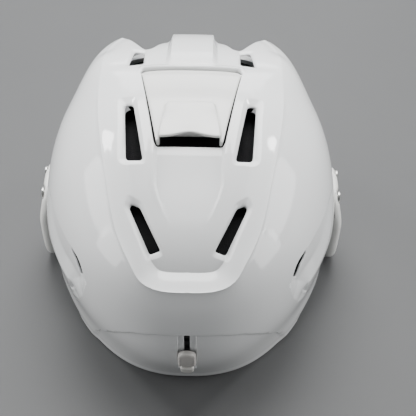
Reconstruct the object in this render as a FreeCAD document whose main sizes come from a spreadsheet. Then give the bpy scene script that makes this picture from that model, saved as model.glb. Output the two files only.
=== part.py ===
import FreeCAD, Part
import math
import os

# Ice hockey helmet: two-piece adjustable shell, flip lever, occipital adjuster,
# ear guards, foam liner, fasteners and chin strap.
# Frame: +X right, +Y towards the forehead, +Z up, origin on the floor under the shell.

V = FreeCAD.Vector
doc = FreeCAD.newDocument("ice_hockey_helmet")

# ------------------------------------------------------------------ driving dimensions (mm, degrees)
sheet = doc.addObject("Spreadsheet::Sheet", "Sizes")
DIMS = [
    ("half_width", 106.0), ("pole_y", 8.0), ("pole_z", 40.0),
    ("rear_wall", 3.0), ("front_outer_drop", 6.8), ("front_wall", 2.8),
    ("pad_outer_drop", 11.2), ("pad_depth", 15.5), ("side_pad_depth", 13.5),
    ("band_front_y", 60.0), ("front_tail_y", -12.0), ("tongue_half_width", 17.5), ("tongue_end_y", -34.0),
    ("lever_front_half", 33.4), ("lever_rear_half", 19.7), ("lever_front_arc", -11.0), ("lever_rear_arc", 54.5),
    ("lever_top", 0.6), ("lever_plate", 3.8), ("lever_gap_front", 0.8), ("lever_gap_rear", 2.2),
    ("lever_pin_radius", 1.0), ("lever_pin_length", 77.0), ("lever_pin_arc", -7.5), ("lever_pin_drop", 2.0),
    ("lever_bore_radius", 1.06), ("shell_bore_radius", 1.03),
    ("tab_half_front", 17.0), ("tab_half_rear", 19.0), ("tab_rise", 2.2),
    ("pawl_width", 14.0), ("pawl_depth", 1.5), ("pawl_run", 8.0),
    ("rack_width", 16.0), ("rack_run", 40.0), ("rack_pitch", 2.5), ("rack_base", 0.5), ("rack_tooth", 0.25),
    ("guard_outer_x", 112.6), ("guard_plate", 3.2), ("guard_top_x", 107.6),
    ("guard_screw_radius", 2.0), ("guard_head_radius", 4.0), ("guard_head_rise", 1.2), ("guard_screw_run", 9.0),
    ("guard_spacer_radius", 3.6), ("guard_nut_radius", 4.2), ("guard_nut_run", 2.6),
    ("nut_bore_radius", 2.1), ("nut_barrel_radius", 3.45), ("nut_barrel_run", 2.2), ("nut_flange_radius", 6.0),
    ("nut_flange_run", 1.2), ("shell_hole_radius", 3.5),
    ("post_radius", 2.4), ("post_run", 11.0), ("post_washer_radius", 5.5), ("post_washer_run", 1.4),
    ("post_slot_half", 2.8), ("post_y", 14.0), ("post_z", 112.0),
    ("slide_travel", 8.0), ("slide_tilt", 6.0),
    ("slot_half", 1.7), ("slot_pocket_half", 4.8), ("slot_pocket_depth", 1.1), ("stem_half", 1.3),
    ("button_half", 5.6), ("button_gap", 1.0), ("button_rise", 5.2), ("cradle_drop", 4.6), ("cradle_wall", 2.2),
    ("cradle_half", 38.0), ("cradle_pad_depth", 9.0),
    ("stud_radius", 4.6), ("stud_run", 2.2), ("stud_shank_radius", 1.6),
    ("strap_width", 16.0), ("strap_thickness", 1.4),
    ("cup_length", 74.0), ("cup_width", 34.0), ("cup_thickness", 2.4),
    ("buckle_length", 26.0), ("buckle_width", 21.0), ("buckle_thickness", 5.0),
]
for row, (alias, value) in enumerate(DIMS, start=1):
    sheet.set("A%d" % row, alias)
    sheet.set("B%d" % row, "%g" % value)
    sheet.setAlias("B%d" % row, alias)
doc.recompute()
G = {alias: float(sheet.get(alias)) for alias, value in DIMS}

# ------------------------------------------------------------------ dome surface of the shell


def spline(xs, ys):
    n = len(xs)
    d = [xs[i + 1] - xs[i] for i in range(n - 1)]
    al = [0.0] * n
    for i in range(1, n - 1):
        al[i] = 3 * ((ys[i + 1] - ys[i]) / d[i] - (ys[i] - ys[i - 1]) / d[i - 1])
    l, mu, z = [1.0] + [0.0] * (n - 1), [0.0] * n, [0.0] * n
    for i in range(1, n - 1):
        l[i] = 2 * (xs[i + 1] - xs[i - 1]) - d[i - 1] * mu[i - 1]
        mu[i] = d[i] / l[i]
        z[i] = (al[i] - d[i - 1] * z[i - 1]) / l[i]
    b, c, e = [0.0] * n, [0.0] * n, [0.0] * n
    for j in range(n - 2, -1, -1):
        c[j] = z[j] - mu[j] * c[j + 1]
        b[j] = (ys[j + 1] - ys[j]) / d[j] - d[j] * (c[j + 1] + 2 * c[j]) / 3
        e[j] = (c[j + 1] - c[j]) / (3 * d[j])

    def f(x):
        i = 0
        while i < n - 2 and x > xs[i + 1]:
            i += 1
        s = x - xs[i]
        return ys[i] + b[i] * s + c[i] * s * s + e[i] * s * s * s
    return f


def poly(xs, ys):
    def f(x):
        if x <= xs[0]:
            return ys[0]
        for i in range(len(xs) - 1):
            if x <= xs[i + 1]:
                k = (x - xs[i]) / (xs[i + 1] - xs[i])
                return ys[i] + k * (ys[i + 1] - ys[i])
        return ys[-1]
    return f


def smooth(k):
    k = min(1.0, max(0.0, k))
    return k * k * (3 - 2 * k)


Y0, Z0, A = G["pole_y"], G["pole_z"], G["half_width"]
# mid-plane outline (y, z), forehead over the crown to the nape
MID = [(119, -66), (131, -40), (142.4, 8), (144.8, 44), (144.6, 66), (137, 92), (118.5, 121), (87, 147), (45, 168), (0, 176), (-48, 172),
       (-90, 156), (-120, 130), (-132.3, 98), (-132.7, 68), (-124, 38), (-113.5, 14), (-105, -6)]
_ph = [math.atan2(z - Z0, y - Y0) for y, z in MID]
_ph = [p if p > -1.2 else p + 2 * math.pi for p in _ph]
RS = spline(_ph, [math.hypot(z - Z0, y - Y0) for y, z in MID])
KN = [-0.85, 0, .52, 1.05, 1.57, 2.09, 2.62, 2.9, 3.14, 3.4, 3.8]
NS = spline(KN, [2.2, 2.3, 2.6, 2.95, 3.12, 2.79, 2.37, 2.2, 2.15, 2.35, 2.45])
MS = spline(KN, [2.0, 2.0, 2.1, 2.2, 2.22, 1.99, 1.63, 1.45, 1.42, 1.42, 1.58])

_fs = [-0.86 + i * 0.0025 for i in range(1905)]
_ls = [0.0]
_prev = None
for _f in _fs:
    _r = RS(_f)
    _p = (Y0 + _r * math.cos(_f), Z0 + _r * math.sin(_f))
    if _prev:
        _ls.append(_ls[-1] + math.hypot(_p[0] - _prev[0], _p[1] - _prev[1]))
    _prev = _p
_off = poly(_fs, _ls)(math.pi / 2)
_ls = [a - _off for a in _ls]


def look(xs, ys, x):
    lo, hi = 0, len(xs) - 1
    if x <= xs[0]:
        return ys[0]
    if x >= xs[-1]:
        return ys[-1]
    while hi - lo > 1:
        mid = (lo + hi) // 2
        if xs[mid] <= x:
            lo = mid
        else:
            hi = mid
    k = (x - xs[lo]) / (xs[hi] - xs[lo])
    return ys[lo] + k * (ys[hi] - ys[lo])


def arc_of(phi):
    return look(_fs, _ls, phi)


def phi_of(arc):
    return look(_ls, _fs, arc)


def base(phi, u):
    r = RS(phi) * max(0.0, 1 - abs(u) ** NS(phi)) ** (1 / MS(phi))
    y, z = Y0 + r * math.cos(phi), Z0 + r * math.sin(phi)
    k = 1.0 - 0.0002 * y - 0.0000015 * y * y
    return V(A * u * k, y, z)


def normal(phi, u):
    e = 0.004
    a = base(phi + e, u) - base(phi - e, u)
    b = base(phi, u + e) - base(phi, u - e)
    n = b.cross(a)
    n.normalize()
    c = base(phi, u) - V(0, 0, 60)
    if n.dot(c) < 0:
        n = n * -1
    return n


def u_of(x, arc):
    phi, u = phi_of(arc), x / A
    for _ in range(6):
        p = base(phi, u)
        k = p.x / (A * u) if abs(u) > 1e-9 else 1.0 - 0.0002 * p.y
        u = max(-0.985, min(0.985, x / (A * k)))
    return phi, u


def at(x, arc, rise):
    phi, u = u_of(x, arc)
    return base(phi, u) + normal(phi, u) * rise


# ------------------------------------------------------------------ relief of the rear shell (mm above the dome)
CREST = [(-95, 44), (-80, 50), (-60, 56), (-25, 58.5), (0, 59), (29, 57), (37, 55.5), (56, 54), (77, 50.4),
         (100, 46.2), (119, 41), (134, 34), (144, 28), (149.4, 16), (150, 0)]
VALLEY = [(-95, 33), (-57, 33.4), (-20, 35), (0, 37), (20, 42.5), (45, 42.5), (60, 39.5), (68.6, 37.3), (94, 33.9),
          (119, 28.4), (138, 20.9), (140, 11.7), (140, 0)]
CREST_RISE = poly([-95, -80, -55, -25, 10, 40, 80, 120, 150], [9.5, 9.0, 7.0, 4.2, 2.2, 1.2, 0.6, 0.2, 0.0])
FALL = poly([-95, -20, 60, 150], [34, 28, 20, 10])


def polyline_far(pts, x, s):
    # distance to the polyline and the arc position of the nearest point
    best, where = 1e9, 0
    for (s0, x0), (s1, x1) in zip(pts, pts[1:]):
        dx, ds = x1 - x0, s1 - s0
        k = ((x - x0) * dx + (s - s0) * ds) / (dx * dx + ds * ds)
        k = min(1.0, max(0.0, k))
        q = math.hypot(x - x0 - k * dx, s - s0 - k * ds)
        if q < best:
            best, where = q, s0 + k * ds
    return best, where


def inside(pts, x, s):
    if s >= pts[-1][0]:
        return False
    return x < look([p[0] for p in pts[:-1]] + [pts[-1][0] + 1e-6], [p[1] for p in pts], s)


def rise_inner(x, s):
    # band and hump in front, ridges beside the lever, recessed panel and central channel behind
    front = -1.0 + 5.0 * smooth((17.5 - x) / 3.5) * smooth((-16 - s) / 14.0)
    ridge = poly([-20, -5, 30, 62, 80, 100, 140], [0.6, 1.6, 1.4, 0.6, -1.4, -3.0, -3.6])(s)
    k = smooth((s + 24) / 14.0)
    mid = front * (1 - k) + ridge * k
    edge = poly([50, 64, 83, 92, 101], [21.5, 21, 20.8, 18.4, 14.6])(s)
    depth = 2.4 * smooth((110 - s) / 45.0) * smooth((s - 52) / 6.0)
    return mid - depth * smooth((edge - x) / 3.0 + 0.5)


def rise(x, s):
    x = abs(x)
    if inside(VALLEY, x, s):
        return rise_inner(x, s)
    if inside(CREST, x, s):
        di, si = polyline_far(VALLEY, x, s)
        do, so = polyline_far(CREST, x, s)
        k = di / (di + do + 1e-9)
        xi = look([p[0] for p in VALLEY[:-1]] + [140.001], [p[1] for p in VALLEY], min(si, 140.0))
        return rise_inner(min(xi, x), min(si, 140.0)) * (1 - k) + CREST_RISE(so) * k
    do, so = polyline_far(CREST, x, s)
    return CREST_RISE(so) * (1 - smooth(do / FALL(so)))


# ------------------------------------------------------------------ solids from pairs of point grids


def grid_solid(top, low):
    faces, edges = [], []
    for rows in (top, low):
        sf = Part.BSplineSurface()
        sf.interpolate(rows)
        faces.append(sf.toShape())
        a, b, c, d = sf.bounds()
        edges.append([sf.uIso(a).toShape(), sf.uIso(b).toShape(), sf.vIso(c).toShape(), sf.vIso(d).toShape()])
    for e0, e1 in zip(*edges):
        faces.append(Part.makeRuledSurface(e0, e1))
    shell = Part.makeShell(faces)
    shell.sewShape()
    solid = Part.Solid(shell)
    if solid.Volume < 0:
        solid.reverse()
    if not solid.isValid():
        solid.fix(0.01, 0.01, 0.01)
    return solid


def dome_solid(phis, us, top, low):
    # top and low: rise above the dome as numbers or functions of (x, arc)
    t_rows, l_rows = [], []
    for f in phis:
        t_row, l_row = [], []
        for u in us:
            p, n = base(f, u), normal(f, u)
            s = arc_of(f)
            ht = top(p.x, s) if callable(top) else top
            hl = low(p.x, s) if callable(low) else low
            t_row.append(p + n * ht)
            l_row.append(p + n * hl)
        t_rows.append(t_row)
        l_rows.append(l_row)
    return grid_solid(t_rows, l_rows)


def patch(xa, xb, s0, s1, top, low, nu=7, nv=7):
    # four-sided plate on the dome: xa and xb give its two side edges as functions of arc
    fa = xa if callable(xa) else (lambda s: xa)
    fb = xb if callable(xb) else (lambda s: xb)
    ft = top if callable(top) else (lambda x, s: top)
    fl = low if callable(low) else (lambda x, s: low)
    t_rows, l_rows = [], []
    for i in range(nv):
        s = s0 + (s1 - s0) * i / (nv - 1.0)
        a, b = fa(s), fb(s)
        xs = [a + (b - a) * j / (nu - 1.0) for j in range(nu)]
        t_rows.append([at(x, s, ft(x, s)) for x in xs])
        l_rows.append([at(x, s, fl(x, s)) for x in xs])
    return grid_solid(t_rows, l_rows)


def lin(s0, a, s1, b):
    return lambda s: a + (b - a) * (s - s0) / (s1 - s0)


def span(a, b, n):
    return [a + (b - a) * i / (n - 1.0) for i in range(n)]


def side_prism(smooth_pts, corner_pts, half=140.0):
    # side-view outline: a smooth curve closed by straight lines, extruded across the helmet
    c = Part.BSplineCurve()
    c.interpolate([V(-half, y, z) for y, z in smooth_pts])
    e = [c.toShape()]
    loop = [smooth_pts[-1]] + corner_pts + [smooth_pts[0]]
    for p, q in zip(loop, loop[1:]):
        e.append(Part.makeLine(V(-half, p[0], p[1]), V(-half, q[0], q[1])))
    return Part.Face(Part.Wire(e)).extrude(V(2 * half, 0, 0))


def mirror_x(shape):
    return shape.mirror(V(0, 0, 0), V(1, 0, 0))


def feature(name, shape):
    obj = doc.addObject("Part::Feature", name)
    obj.Label = name
    obj.Shape = shape
    obj.Placement = FreeCAD.Placement()
    PARTS.append(obj)
    return obj


def bind(obj, **links):
    for prop, alias in links.items():
        obj.setExpression(prop, "Sizes." + alias)
    return obj


def along(p, d):
    return FreeCAD.Placement(p, FreeCAD.Rotation(V(0, 0, 1), d))


PARTS = []
W, DROP, FW = G["rear_wall"], G["front_outer_drop"], G["front_wall"]

# ------------------------------------------------------------------ rear shell
us = [math.sin(a) for a in span(-1.452, 1.452, 67)]
rear = dome_solid(span(0.70, 3.60, 82), us, rise, lambda x, s: rise(x, s) - W)
rear_outline = side_prism(
    [(84, 156), (80, 138), (68, 118), (54, 98), (42, 80), (35, 69), (26, 64.5), (10, 65.5), (-6, 64), (-18, 57), (-27, 45), (-33, 30),
     (-37, 17), (-44, 8.5), (-57, 3.4), (-80, 0.6), (-104, 0.0), (-150, 0.0)],
    [(-150, 200), (84, 200)])
rear = rear.common(rear_outline)
band_cut = Part.makeBox(76, 60, 80, V(-38, G["band_front_y"], 130))
lf, lr = G["lever_front_half"], G["lever_rear_half"]
sa, sb = G["lever_front_arc"], G["lever_rear_arc"]
open_half = lin(sa - 2, lf + G["lever_gap_front"], sb + 2.5, lr + G["lever_gap_rear"])
lever_opening = patch(lambda s: -open_half(s), open_half, sa - 2, sb + 2.5, 12, -16, 7, 9)
top_vents = [patch(lin(-38, 34.5, -21.5, 33.3), lin(-38, 39.9, -21.5, 42.0), -38, -21.5, 14, -10, 4, 5)]
upper_vents = [patch(lin(26, 36.5, 67, 29.4), lin(26, 41.8, 67, 39.5), 26, 67, 12, -14, 4, 8)]
lower_vents = [patch(lin(98, 31.8, 129, 19.4), lin(98, 36.2, 129, 26.4), 98, 129, 12, -14, 4, 8)]
side_vents = []
for q0, q1 in (((131.0, 73.2, 74.6), (151.0, 62.2, 67.2)),):
    side_vents.append(patch(lin(q0[0], q0[1] - 1.6, q1[0], q1[1]), lin(q0[0], q0[2], q1[0], q1[2] + 0.6), q0[0], q1[0], 10, -12, 4, 6))
slot = patch(-G["slot_half"], G["slot_half"], 181, 219, 8, -12, 4, 8)
slot_pocket = patch(-G["slot_pocket_half"], G["slot_pocket_half"], 180, 246, 8, -G["slot_pocket_depth"], 4, 10)
cutters = [band_cut, lever_opening, slot, slot_pocket]
for v in top_vents + upper_vents + lower_vents + side_vents:
    cutters += [v, mirror_x(v)]
pin_c = at(0, G["lever_pin_arc"], -G["lever_pin_drop"])
cutters.append(Part.makeCylinder(G["shell_bore_radius"], 79.0, V(-39.5, pin_c.y, pin_c.z), V(1, 0, 0)))
SCREWS = [(22.0, 73.5), (2.0, 72.0)]
for y, z in SCREWS:
    cutters.append(Part.makeCylinder(G["guard_screw_radius"] + 0.1, 260, V(-130, y, z), V(1, 0, 0)))
rear = rear.cut(cutters)
rear_shell = feature("rear_shell", rear)

# ------------------------------------------------------------------ front shell
front_h = lambda x, s: (-DROP + 3.2 * smooth((19 - abs(x)) / 4.5) * smooth((-92 - s) / 16.0) * smooth((s + 175) / 20.0)
                        - 0.9 * smooth((-15 - s) / 20.0) * smooth((s + 100) / 20.0))
us_f = [math.sin(a) for a in span(-1.425, 1.425, 53)]
front = dome_solid(span(-0.80, 1.98, 63), us_f, front_h, lambda x, s: front_h(x, s) - FW)
front_outline = side_prism(
    [(-11, 150), (-6, 128), (0, 112), (6, 98), (13, 87), (21, 79), (30, 71), (38, 60), (43, 46), (46, 30), (50, 14), (56, 4.5), (63, 1.4), (71, 3.5), (78, 13),
     (84, 32), (91, 51), (102, 65), (118, 72.5), (150, 76)],
    [(150, 200), (-60, 200), (-60, 150)])
front = front.common(front_outline)
th = G["tongue_half_width"]
f_cut = []
for sgn in (1, -1):
    f_cut.append(Part.makeBox(90, 90, 60, V(th if sgn > 0 else -th - 90, -80, 140)).common(
        Part.makeBox(400, 68, 200, V(-200, -80, 60))))
f_cut.append(Part.makeBox(200, 60, 60, V(-100, G["tongue_end_y"] - 60, 130)))
side_win = patch(28.5, 47.0, -62, -5, 6, -20, 5, 7)
f_cut += [side_win, mirror_x(side_win)]
brow_vent = patch(lin(-118, 34, -96, 38), lin(-118, 46, -96, 48), -118, -96, 8, -20, 4, 5)
f_cut += [brow_vent, mirror_x(brow_vent)]
tl = math.radians(G["slide_tilt"])
sl = V(0, math.cos(tl), -math.sin(tl))
py, pz = G["post_y"], G["post_z"]
hs, tr = G["post_slot_half"], G["slide_travel"] + 0.6
for sgn in (-1, 1):
    a, b = V(sgn * 60, py, pz) - sl * tr, V(sgn * 60, py, pz) + sl * tr
    ex = V(sgn * 60, 0, 0)
    f_cut.append(Part.makeCylinder(hs, 60, a, V(sgn, 0, 0)))
    f_cut.append(Part.makeCylinder(hs, 60, b, V(sgn, 0, 0)))
    w = sl.cross(V(1, 0, 0)) * hs
    f_cut.append(Part.Face(Part.makePolygon([a - w, b - w, b + w, a + w, a - w])).extrude(ex))


def dome_hit(y, z, sgn):
    # point and normal of the dome at a side-view position
    phi = math.atan2(z - Z0, y - Y0)
    r = math.hypot(z - Z0, y - Y0)
    lo, hi = 0.0, 0.992
    for _ in range(50):
        m = 0.5 * (lo + hi)
        p = base(phi, m)
        if math.hypot(p.y - Y0, p.z - Z0) > r:
            lo = m
        else:
            hi = m
    return base(phi, sgn * lo), normal(phi, sgn * lo)


VISOR = [(64.0, 100.0), (92.0, 100.0)]
FOREHEAD = (44.0, -128.0)
STUD = (60.0, 26.0)
inserts = []
for sgn in (-1, 1):
    for y, z in VISOR:
        p, n = dome_hit(y, z, sgn)
        inserts.append((p, n))
    phi, u = u_of(sgn * FOREHEAD[0], FOREHEAD[1])
    inserts.append((base(phi, u), normal(phi, u)))
for p, n in inserts:
    f_cut.append(Part.makeCylinder(G["shell_hole_radius"], 12, p - n * (DROP + FW + 4), n))
studs = []
for sgn in (-1, 1):
    p, n = dome_hit(STUD[0], STUD[1], sgn)
    studs.append((p, n))
    f_cut.append(Part.makeCylinder(G["stud_shank_radius"] + 0.05, 12, p - n * (DROP + FW + 4), n))
for c in f_cut:
    front = front.cut(c)
if len(front.Solids) > 1:
    front = sorted(front.Solids, key=lambda q: q.Volume)[-1]
front_shell = feature("front_shell", front)

# ------------------------------------------------------------------ flip lever on the crown
half = lin(sa, lf, sb, lr)
plate = patch(lambda s: -half(s), half, sa, sb, G["lever_top"], G["lever_top"] - G["lever_plate"], 9, 11)
bore = Part.makeCylinder(G["lever_bore_radius"], 80, V(-40, pin_c.y, pin_c.z), V(1, 0, 0))
lip = patch(lambda s: -G["tab_half_rear"] - 3, G["tab_half_rear"] + 3, sb - 1.5, sb + 8, 8, -12, 5, 4)
scoop_c = at(0, sb + 12, -4.0)
plate = plate.cut([bore, Part.makeSphere(13.2, scoop_c)])
feature("lever_plate", plate)
tab_half = lin(25, G["tab_half_front"], 52, G["tab_half_rear"])
tab = patch(lambda s: -tab_half(s), tab_half, 25, 52, lambda x, s: G["lever_top"] + 0.02 + G["tab_rise"] * smooth((s - 23) / 16.0),
            G["lever_top"] + 0.02, 7, 9)
tab = tab.cut(Part.makeSphere(13.0, at(0, sb + 11, -3.2)))
feature("lever_thumb_tab", tab)
low = G["lever_top"] - G["lever_plate"]
pawl = patch(-G["pawl_width"] / 2, G["pawl_width"] / 2, 22, 22 + G["pawl_run"], low - 0.02, low - G["pawl_depth"], 4, 4)
feature("lever_lock_pawl", pawl)

pin = doc.addObject("Part::Cylinder", "lever_pin")
pin.Label = "lever_pin"
bind(pin, Radius="lever_pin_radius", Height="lever_pin_length")
pin.Placement = along(V(-G["lever_pin_length"] / 2, pin_c.y, pin_c.z), V(1, 0, 0))
PARTS.append(pin)

# toothed rack on the front shell's tongue, under the lever
rk = [patch(-G["rack_width"] / 2, G["rack_width"] / 2, 0, G["rack_run"], -DROP + 0.02 + G["rack_base"], -DROP + 0.02, 4, 8)]
n_teeth = int(G["rack_run"] / G["rack_pitch"])
for i in range(n_teeth):
    s = 0.6 + i * G["rack_pitch"]
    rk.append(patch(-G["rack_width"] / 2 + 1, G["rack_width"] / 2 - 1, s, s + 1.2,
                    -DROP + 0.02 + G["rack_base"] + G["rack_tooth"], -DROP + 0.2, 3, 3))
rack = rk[0].fuse(rk[1:])
feature("lock_rack", rack)

# ------------------------------------------------------------------ ear guards
GUARD = [(-9, 40), (-8, 25), (-4, 11), (4, 2), (14, 0.0), (24, 3.5), (32, 15), (36, 34), (36, 52), (33, 66), (28, 77), (18, 80), (4, 79), (-5, 74), (-8.5, 58)]


def guard_x(z):
    k = smooth((z - 46) / 34.0)
    return G["guard_outer_x"] * (1 - k) + G["guard_top_x"] * k


SEAT = 0.9   # the screw heads sit this deep in flat seats
gy, gz = span(-14, 42, 8), span(-4, 86, 12)
t_rows = [[V(guard_x(z) - 0.0011 * (y - 12) ** 2, y, z) for y in gy] for z in gz]
l_rows = [[p - V(G["guard_plate"], 0, 0) for p in r] for r in t_rows]
g_blank = grid_solid(t_rows, l_rows)
gc = Part.BSplineCurve()
gc.interpolate([V(90, y, z) for y, z in GUARD], True)
g_prism = Part.Face(Part.Wire([gc.toShape()])).extrude(V(40, 0, 0))
guard_r = g_blank.common(g_prism)
holes = [Part.makeCylinder(G["guard_screw_radius"] + 0.1, 60, V(80, y, z), V(1, 0, 0)) for y, z in SCREWS]
for i in range(3):
    holes.append(Part.makeCylinder(2.2, 60, V(80, 8.0 + 9.0 * i, 36.0), V(1, 0, 0)))
for y, z in SCREWS:
    seat = guard_x(z) - 0.0011 * (y - 12) ** 2 - SEAT
    holes.append(Part.makeCylinder(G["guard_head_radius"] + 0.3, 20, V(seat, y, z), V(1, 0, 0)))
guard_r = guard_r.cut(holes)
guard_l = mirror_x(guard_r)
feature("ear_guard_right", guard_r)
feature("ear_guard_left", guard_l)

screw_head = doc.addObject("Part::Cylinder", "guard_screw_head")
bind(screw_head, Radius="guard_head_radius", Height="guard_head_rise")
screw_shank = doc.addObject("Part::Cylinder", "guard_screw_shank")
bind(screw_shank, Radius="guard_screw_radius", Height="guard_screw_run")
screw_shank.Placement = FreeCAD.Placement(V(0, 0, -G["guard_screw_run"]), FreeCAD.Rotation())
screw_raw = doc.addObject("Part::Fuse", "guard_screw_blank")
screw_raw.Base, screw_raw.Tool = screw_head, screw_shank
drive = doc.addObject("Part::Box", "guard_screw_drive")
drive.Length, drive.Width, drive.Height = 5.0, 1.0, 1.0
drive.Placement = FreeCAD.Placement(V(-2.5, -0.5, 0.7), FreeCAD.Rotation())
screw = doc.addObject("Part::Cut", "guard_screw")
screw.Base, screw.Tool = screw_raw, drive
spacer_o = doc.addObject("Part::Cylinder", "guard_spacer_outer")
bind(spacer_o, Radius="guard_spacer_radius")
nut_o = doc.addObject("Part::Cylinder", "guard_nut_outer")
bind(nut_o, Radius="guard_nut_radius", Height="guard_nut_run")
nut_i = doc.addObject("Part::Cylinder", "guard_nut_hole")
bind(nut_i, Radius="guard_screw_radius", Height="guard_nut_run")
nut = doc.addObject("Part::Cut", "guard_nut")
nut.Base, nut.Tool = nut_o, nut_i
doc.recompute()

screws, spacers, nuts = [], [], []
for sgn in (-1, 1):
    for y, z in SCREWS:
        gx = guard_x(z) - 0.0011 * (y - 12) ** 2
        q = screw.Shape.copy()
        q.Placement = along(V(sgn * (gx - SEAT + 0.02), y, z), V(sgn, 0, 0)).multiply(q.Placement)
        screws.append(q)
        p, n = dome_hit(y, z, sgn)
        xs = abs(p.x) + 0.35
        ring = Part.makeCylinder(G["guard_spacer_radius"], gx - G["guard_plate"] - xs - 0.05, V(sgn * xs, y, z), V(sgn, 0, 0)).cut(
            Part.makeCylinder(G["guard_screw_radius"] + 0.1, 40, V(sgn * 90, y, z), V(sgn, 0, 0)))
        ring = ring.cut(guard_r if sgn > 0 else guard_l).cut(rear)
        spacers.append(ring)
        q = nut.Shape.copy()
        q.Placement = along(V(sgn * (abs(p.x) - W - 0.7), y, z), V(-sgn, 0, 0)).multiply(q.Placement)
        nuts.append(q)
feature("ear_guard_screws", Part.makeCompound(screws))
feature("ear_guard_spacers", Part.makeCompound(spacers))
feature("ear_guard_nuts", Part.makeCompound(nuts))

# ------------------------------------------------------------------ occipital adjuster
bh, bg, br = G["button_half"], G["button_gap"], G["button_rise"]
button = patch(-bh, bh, 197, 220.5, lambda x, s: br - 0.06 * x * x - 0.012 * (s - 209) ** 2, bg, 6, 7)
feature("adjuster_button", button)
tabp = patch(-bh * 0.78, bh * 0.78, 220.8, 236, lambda x, s: 4.6 - 0.03 * x * x - 0.05 * (s - 221), bg, 5, 5)
feature("adjuster_tab", tabp)
stem = patch(-G["stem_half"], G["stem_half"], 205, 216, bg - 0.02, -G["cradle_drop"] + 0.02, 3, 4)
feature("adjuster_stem", stem)
ch = G["cradle_half"]
cd, cw = G["cradle_drop"], G["cradle_wall"]
cradle = patch(-ch, ch, 197, 240, -cd, -cd - cw, 11, 6)
feature("occipital_cradle", cradle)
for nm, a, b in (("occipital_pad_left", -ch + 2, -3.0), ("occipital_pad_right", 3.0, ch - 2)):
    feature(nm, patch(a, b, 199, 238, -cd - cw - 0.02, -cd - cw - G["cradle_pad_depth"], 6, 5))

# ------------------------------------------------------------------ foam liner
PO, PD, SD = G["pad_outer_drop"], G["pad_depth"], G["side_pad_depth"]


def foam(name, f0, f1, u0, u1, depth, cut=None, nf=9, nu=9, low=0.0):
    s = dome_solid(span(f0, f1, nf), span(u0, u1, nu), -PO - low, -PO - depth)
    if cut:
        s = s.cut(cut)
        if len(s.Solids) == 1:
            s = s.Solids[0]
    return feature(name, s)


well = [Part.makeCylinder(7.0, 20.0, p - n * (PO + 11), n) for p, n in inserts]
for tag, sgn in (("left", -1), ("right", 1)):
    lo = lambda a, b: (min(sgn * a, sgn * b), max(sgn * a, sgn * b))
    a, b = lo(0.30, 0.64)
    foam("forehead_pad_" + tag, 0.30, 0.78, a, b, PD, well)
    a, b = lo(0.70, 0.90)
    foam("temple_pad_" + tag, 0.45, 1.02, a, b, SD, well)
    a, b = lo(0.10, 0.62)
    foam("rear_pad_" + tag, 2.20, 2.62, a, b, PD)
    a, b = lo(0.70, 0.90)
    foam("side_pad_" + tag, 2.00, 2.80, a, b, SD)
foam("forehead_pad_center", 0.30, 0.78, -0.24, 0.24, PD)
foam("crown_pad_front", 0.90, 1.59, -0.42, 0.42, PD)
foam("crown_pad_rear", 1.675, 2.12, -0.42, 0.42, PD, low=1.7)
comfort = dome_solid(span(0.31, 0.50, 5), span(-0.56, 0.56, 13), -PO - PD - 0.3, -PO - PD - 4.3)
feature("forehead_comfort_band", comfort)

# ------------------------------------------------------------------ guide posts of the shell slide
posts, washers = [], []
for sgn in (-1, 1):
    p, n = dome_hit(py, pz, sgn)
    x0 = abs(p.x) - W - 1.1
    xi = abs(p.x) - DROP - FW - 3.9
    posts.append(Part.makeCylinder(G["post_radius"], x0 - xi + G["post_washer_run"] + 1.2, V(sgn * x0, py, pz), V(-sgn, 0, 0)).fuse(
        Part.makeCylinder(G["post_radius"] + 2.0, G["post_washer_run"], V(sgn * (xi), py, pz), V(-sgn, 0, 0))).removeSplitter())
feature("shell_guide_posts", Part.makeCompound(posts))

# ------------------------------------------------------------------ visor and cage inserts: flanged, threaded, empty
ins = []
for i, (p, n) in enumerate(inserts):
    o = p - n * (DROP + FW + (0.9 if i in (2, 5) else 0.55))
    body = Part.makeCylinder(G["nut_flange_radius"], G["nut_flange_run"], o, n * -1).fuse(
        Part.makeCylinder(G["nut_barrel_radius"], G["nut_barrel_run"] + 0.1, o, n)).removeSplitter()
    body = body.cut(Part.makeCylinder(G["nut_bore_radius"], 14, o - n * 7, n))
    ins.append(body)
feature("visor_inserts", Part.makeCompound([ins[0], ins[1], ins[3], ins[4]]))
feature("cage_inserts", Part.makeCompound([ins[2], ins[5]]))

# ------------------------------------------------------------------ chin strap studs
st = []
for p, n in studs:
    o = p - n * (DROP - 0.05)
    st.append(Part.makeCylinder(G["stud_radius"], 1.0, o, n).fuse([
        Part.makeCylinder(G["stud_shank_radius"], FW + 0.4, o, n * -1),
        Part.makeCylinder(G["stud_radius"], G["stud_run"], o - n * (FW + 0.15), n * -1)]).removeSplitter())
feature("strap_studs", Part.makeCompound(st))


# ------------------------------------------------------------------ chin strap, lying folded across the inside
SW, ST = G["strap_width"], G["strap_thickness"]


def ribbon(path, y0, width, thick):
    # flat webbing: path holds (x, z) of its middle line, thickness across it
    t_rows, l_rows = [], []
    for i, (x, z) in enumerate(path):
        a, b = path[max(0, i - 1)], path[min(len(path) - 1, i + 1)]
        dx, dz = b[0] - a[0], b[1] - a[1]
        q = math.hypot(dx, dz)
        nx, nz = -dz / q * thick / 2, dx / q * thick / 2
        ys = [y0 + width * (k - 1.5) / 3.0 for k in range(4)]
        t_rows.append([V(x + nx, y, z + nz) for y in ys])
        l_rows.append([V(x - nx, y, z - nz) for y in ys])
    return grid_solid(t_rows, l_rows)


def round_corners(shape, radius):
    es = [e for e in shape.Edges if abs(e.Vertexes[0].Point.z - e.Vertexes[-1].Point.z) > 1.0
          and abs(e.Vertexes[0].Point.x - e.Vertexes[-1].Point.x) < 1e-6]
    return shape.makeFillet(radius, es)


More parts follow.
